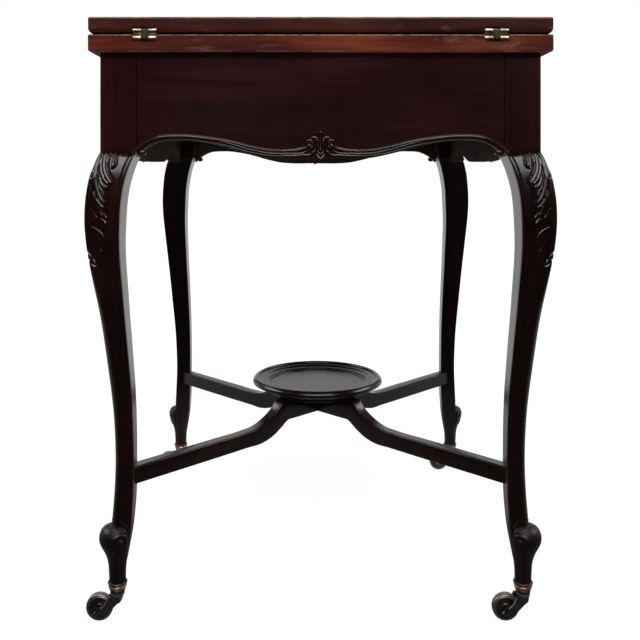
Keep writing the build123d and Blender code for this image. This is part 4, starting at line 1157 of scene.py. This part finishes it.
studio = {
    "ambient": 0.18,
    "frontGloss": 0.01,  # how bright the room in front, the sides and the wall behind look in the polish
    "sideGloss": 0.26,
    "backGloss": 0.85,
    "floorWhite": 1.11,  # with the light that falls on it the floor is white where nothing shades it
    "floorNear": 0.8,  # how much of that white is seen under the table; far off it is all of it
    "floorColour": (0.75, 0.75, 0.75),
    "floorReach": 30.0,
    "upwardLoss": 0.62,  # how much darker the room's upper part looks in the polish
    "aim": (0.0, 0.0, 0.45),  # where the lamps point
    "overhead": {"place": (0.0, 0.1, 2.3), "size": (1.8, 1.8), "power": 27.0},
    "key": {"place": (0.05, -1.92, 2.0), "size": (2.1, 0.95), "power": 48.0},
    "sideFills": [(2.3, 0.35, 1.9), (-2.3, 0.35, 1.9)],
    "sideFill": {"size": (1.6, 0.8), "power": 22.0},
    "backFill": {"place": (0.0, 2.6, 1.7), "size": (2.4, 1.2), "power": 6.0},
}


def seenDirectly(tree, path):
    return calculated(tree, "MAXIMUM", path["Is Camera Ray"], path["Is Transmission Ray"])


def paleFloor(look):
    # a wide plate: matt for light that falls on it, white by its own glow where it is seen far off or
    # mirrored, and partly so under the table, where it takes a soft shade
    mesh = bpy.data.meshes.new("paleFloor")
    reach = look["floorReach"]
    corners = [(-reach, -reach, 0), (reach, -reach, 0), (reach, reach, 0), (-reach, reach, 0)]
    mesh.from_pydata(corners, [], [(0, 1, 2, 3)])
    material, tree, mix = newMaterial("paleFloor", "ShaderNodeMixShader")
    place = splitVector(tree, "ShaderNodeTexCoord", "Object")
    path = tree.nodes.new("ShaderNodeLightPath").outputs
    seen = seenDirectly(tree, path)
    behind = scaled(tree, place["Y"], 0.6, 0.25, True)
    lit = scaled(tree, behind, look["backGloss"], look["frontGloss"])
    strength = calculated(tree, "MAXIMUM", lit, product(tree, seen, look["floorWhite"]))
    distance = tree.nodes.new("ShaderNodeVectorMath")
    distance.operation = "LENGTH"
    tree.links.new(tree.nodes.new("ShaderNodeTexCoord").outputs["Object"], distance.inputs[0])
    away = scaled(tree, distance.outputs["Value"], 1.0, -0.6, True)
    white = scaled(tree, away, 1 - look["floorNear"], look["floorNear"])
    gloss = product(tree, path["Is Glossy Ray"], 0.97)
    matt = addNode(tree, "ShaderNodeBsdfDiffuse", {"Color": look["floorColour"]})
    glow = addNode(tree, "ShaderNodeEmission", {"Color": (1.0, 1.0, 1.0), "Strength": strength})
    share = calculated(tree, "MAXIMUM", gloss, product(tree, seen, white))
    fill(tree, mix, {"Fac": share, 1: matt.outputs[0], 2: glow.outputs[0]})
    mesh.materials.append(material)
    placed("paleFloor", mesh)


def studioWorld(look):
    # white where it is seen directly and dimmer for the light that it gives; in gloss it is dark in front,
    # grey at the sides and pale behind, and darker upwards
    world = bpy.data.worlds.new("studioWorld")
    world.use_nodes = True
    bpy.context.scene.world = world
    tree = world.node_tree
    tree.nodes.clear()
    path = tree.nodes.new("ShaderNodeLightPath").outputs
    ray = splitVector(tree, "ShaderNodeTexCoord", "Generated")
    fromFront = scaled(tree, ray["Y"], 1.25, 1.0, True)
    toBack = product(tree, ray["Y"], 1.4, True)
    gloss = scaled(tree, fromFront, look["sideGloss"] - look["frontGloss"], look["frontGloss"])
    gloss = scaled(tree, toBack, look["backGloss"] - look["sideGloss"], gloss)
    upward = scaled(tree, ray["Z"], 3.2, -0.1, True)
    gloss = product(tree, gloss, scaled(tree, upward, -look["upwardLoss"], 1.0))
    mix = addNode(tree, "ShaderNodeMix", {0: path["Is Glossy Ray"], 2: look["ambient"], 3: gloss})
    strength = calculated(tree, "MAXIMUM", mix.outputs[0], seenDirectly(tree, path))
    background = addNode(tree, "ShaderNodeBackground", {"Color": (1.0, 1.0, 1.0), "Strength": strength})
    addNode(tree, "ShaderNodeOutputWorld", {"Surface": background.outputs[0]})


def softLamp(name, look):
    # an oblong lamp that faces the middle of the table's height
    lamp = bpy.data.lights.new(name, "AREA")
    lamp.shape = "RECTANGLE"
    lamp.size, lamp.size_y = look["size"]
    lamp.energy = look["power"]
    holder = placed(name, lamp)
    holder.location = look["place"]
    aim = Vector(studio["aim"]) - holder.location
    holder.rotation_euler = aim.to_track_quat("-Z", "Y").to_euler()


paleFloor(studio)
studioWorld(studio)
softLamp("overheadSoft", studio["overhead"])
softLamp("keySoft", studio["key"])
for number, place in enumerate(studio["sideFills"]):
    softLamp(f"sideSoft_{number}", dict(studio["sideFill"], place=place))
softLamp("backSoft", studio["backFill"])

cameraView = {
    "place": (-0.0177, -1.242, 0.554),
    "turn": (math.pi / 2, 0, 0),
    "lens": 45.0,
    "sensor": 36.0,
    "shift": (0.0219, -0.23125),
}
lens = bpy.data.cameras.new("photoCamera")
lens.lens = cameraView["lens"]
lens.sensor_width = cameraView["sensor"]
lens.shift_x, lens.shift_y = cameraView["shift"]
camera = placed("photoCamera", lens)
camera.location = cameraView["place"]
camera.rotation_euler = cameraView["turn"]
bpy.context.scene.camera = camera
bpy.context.scene.view_settings.view_transform = "Standard"
print("studio lit")
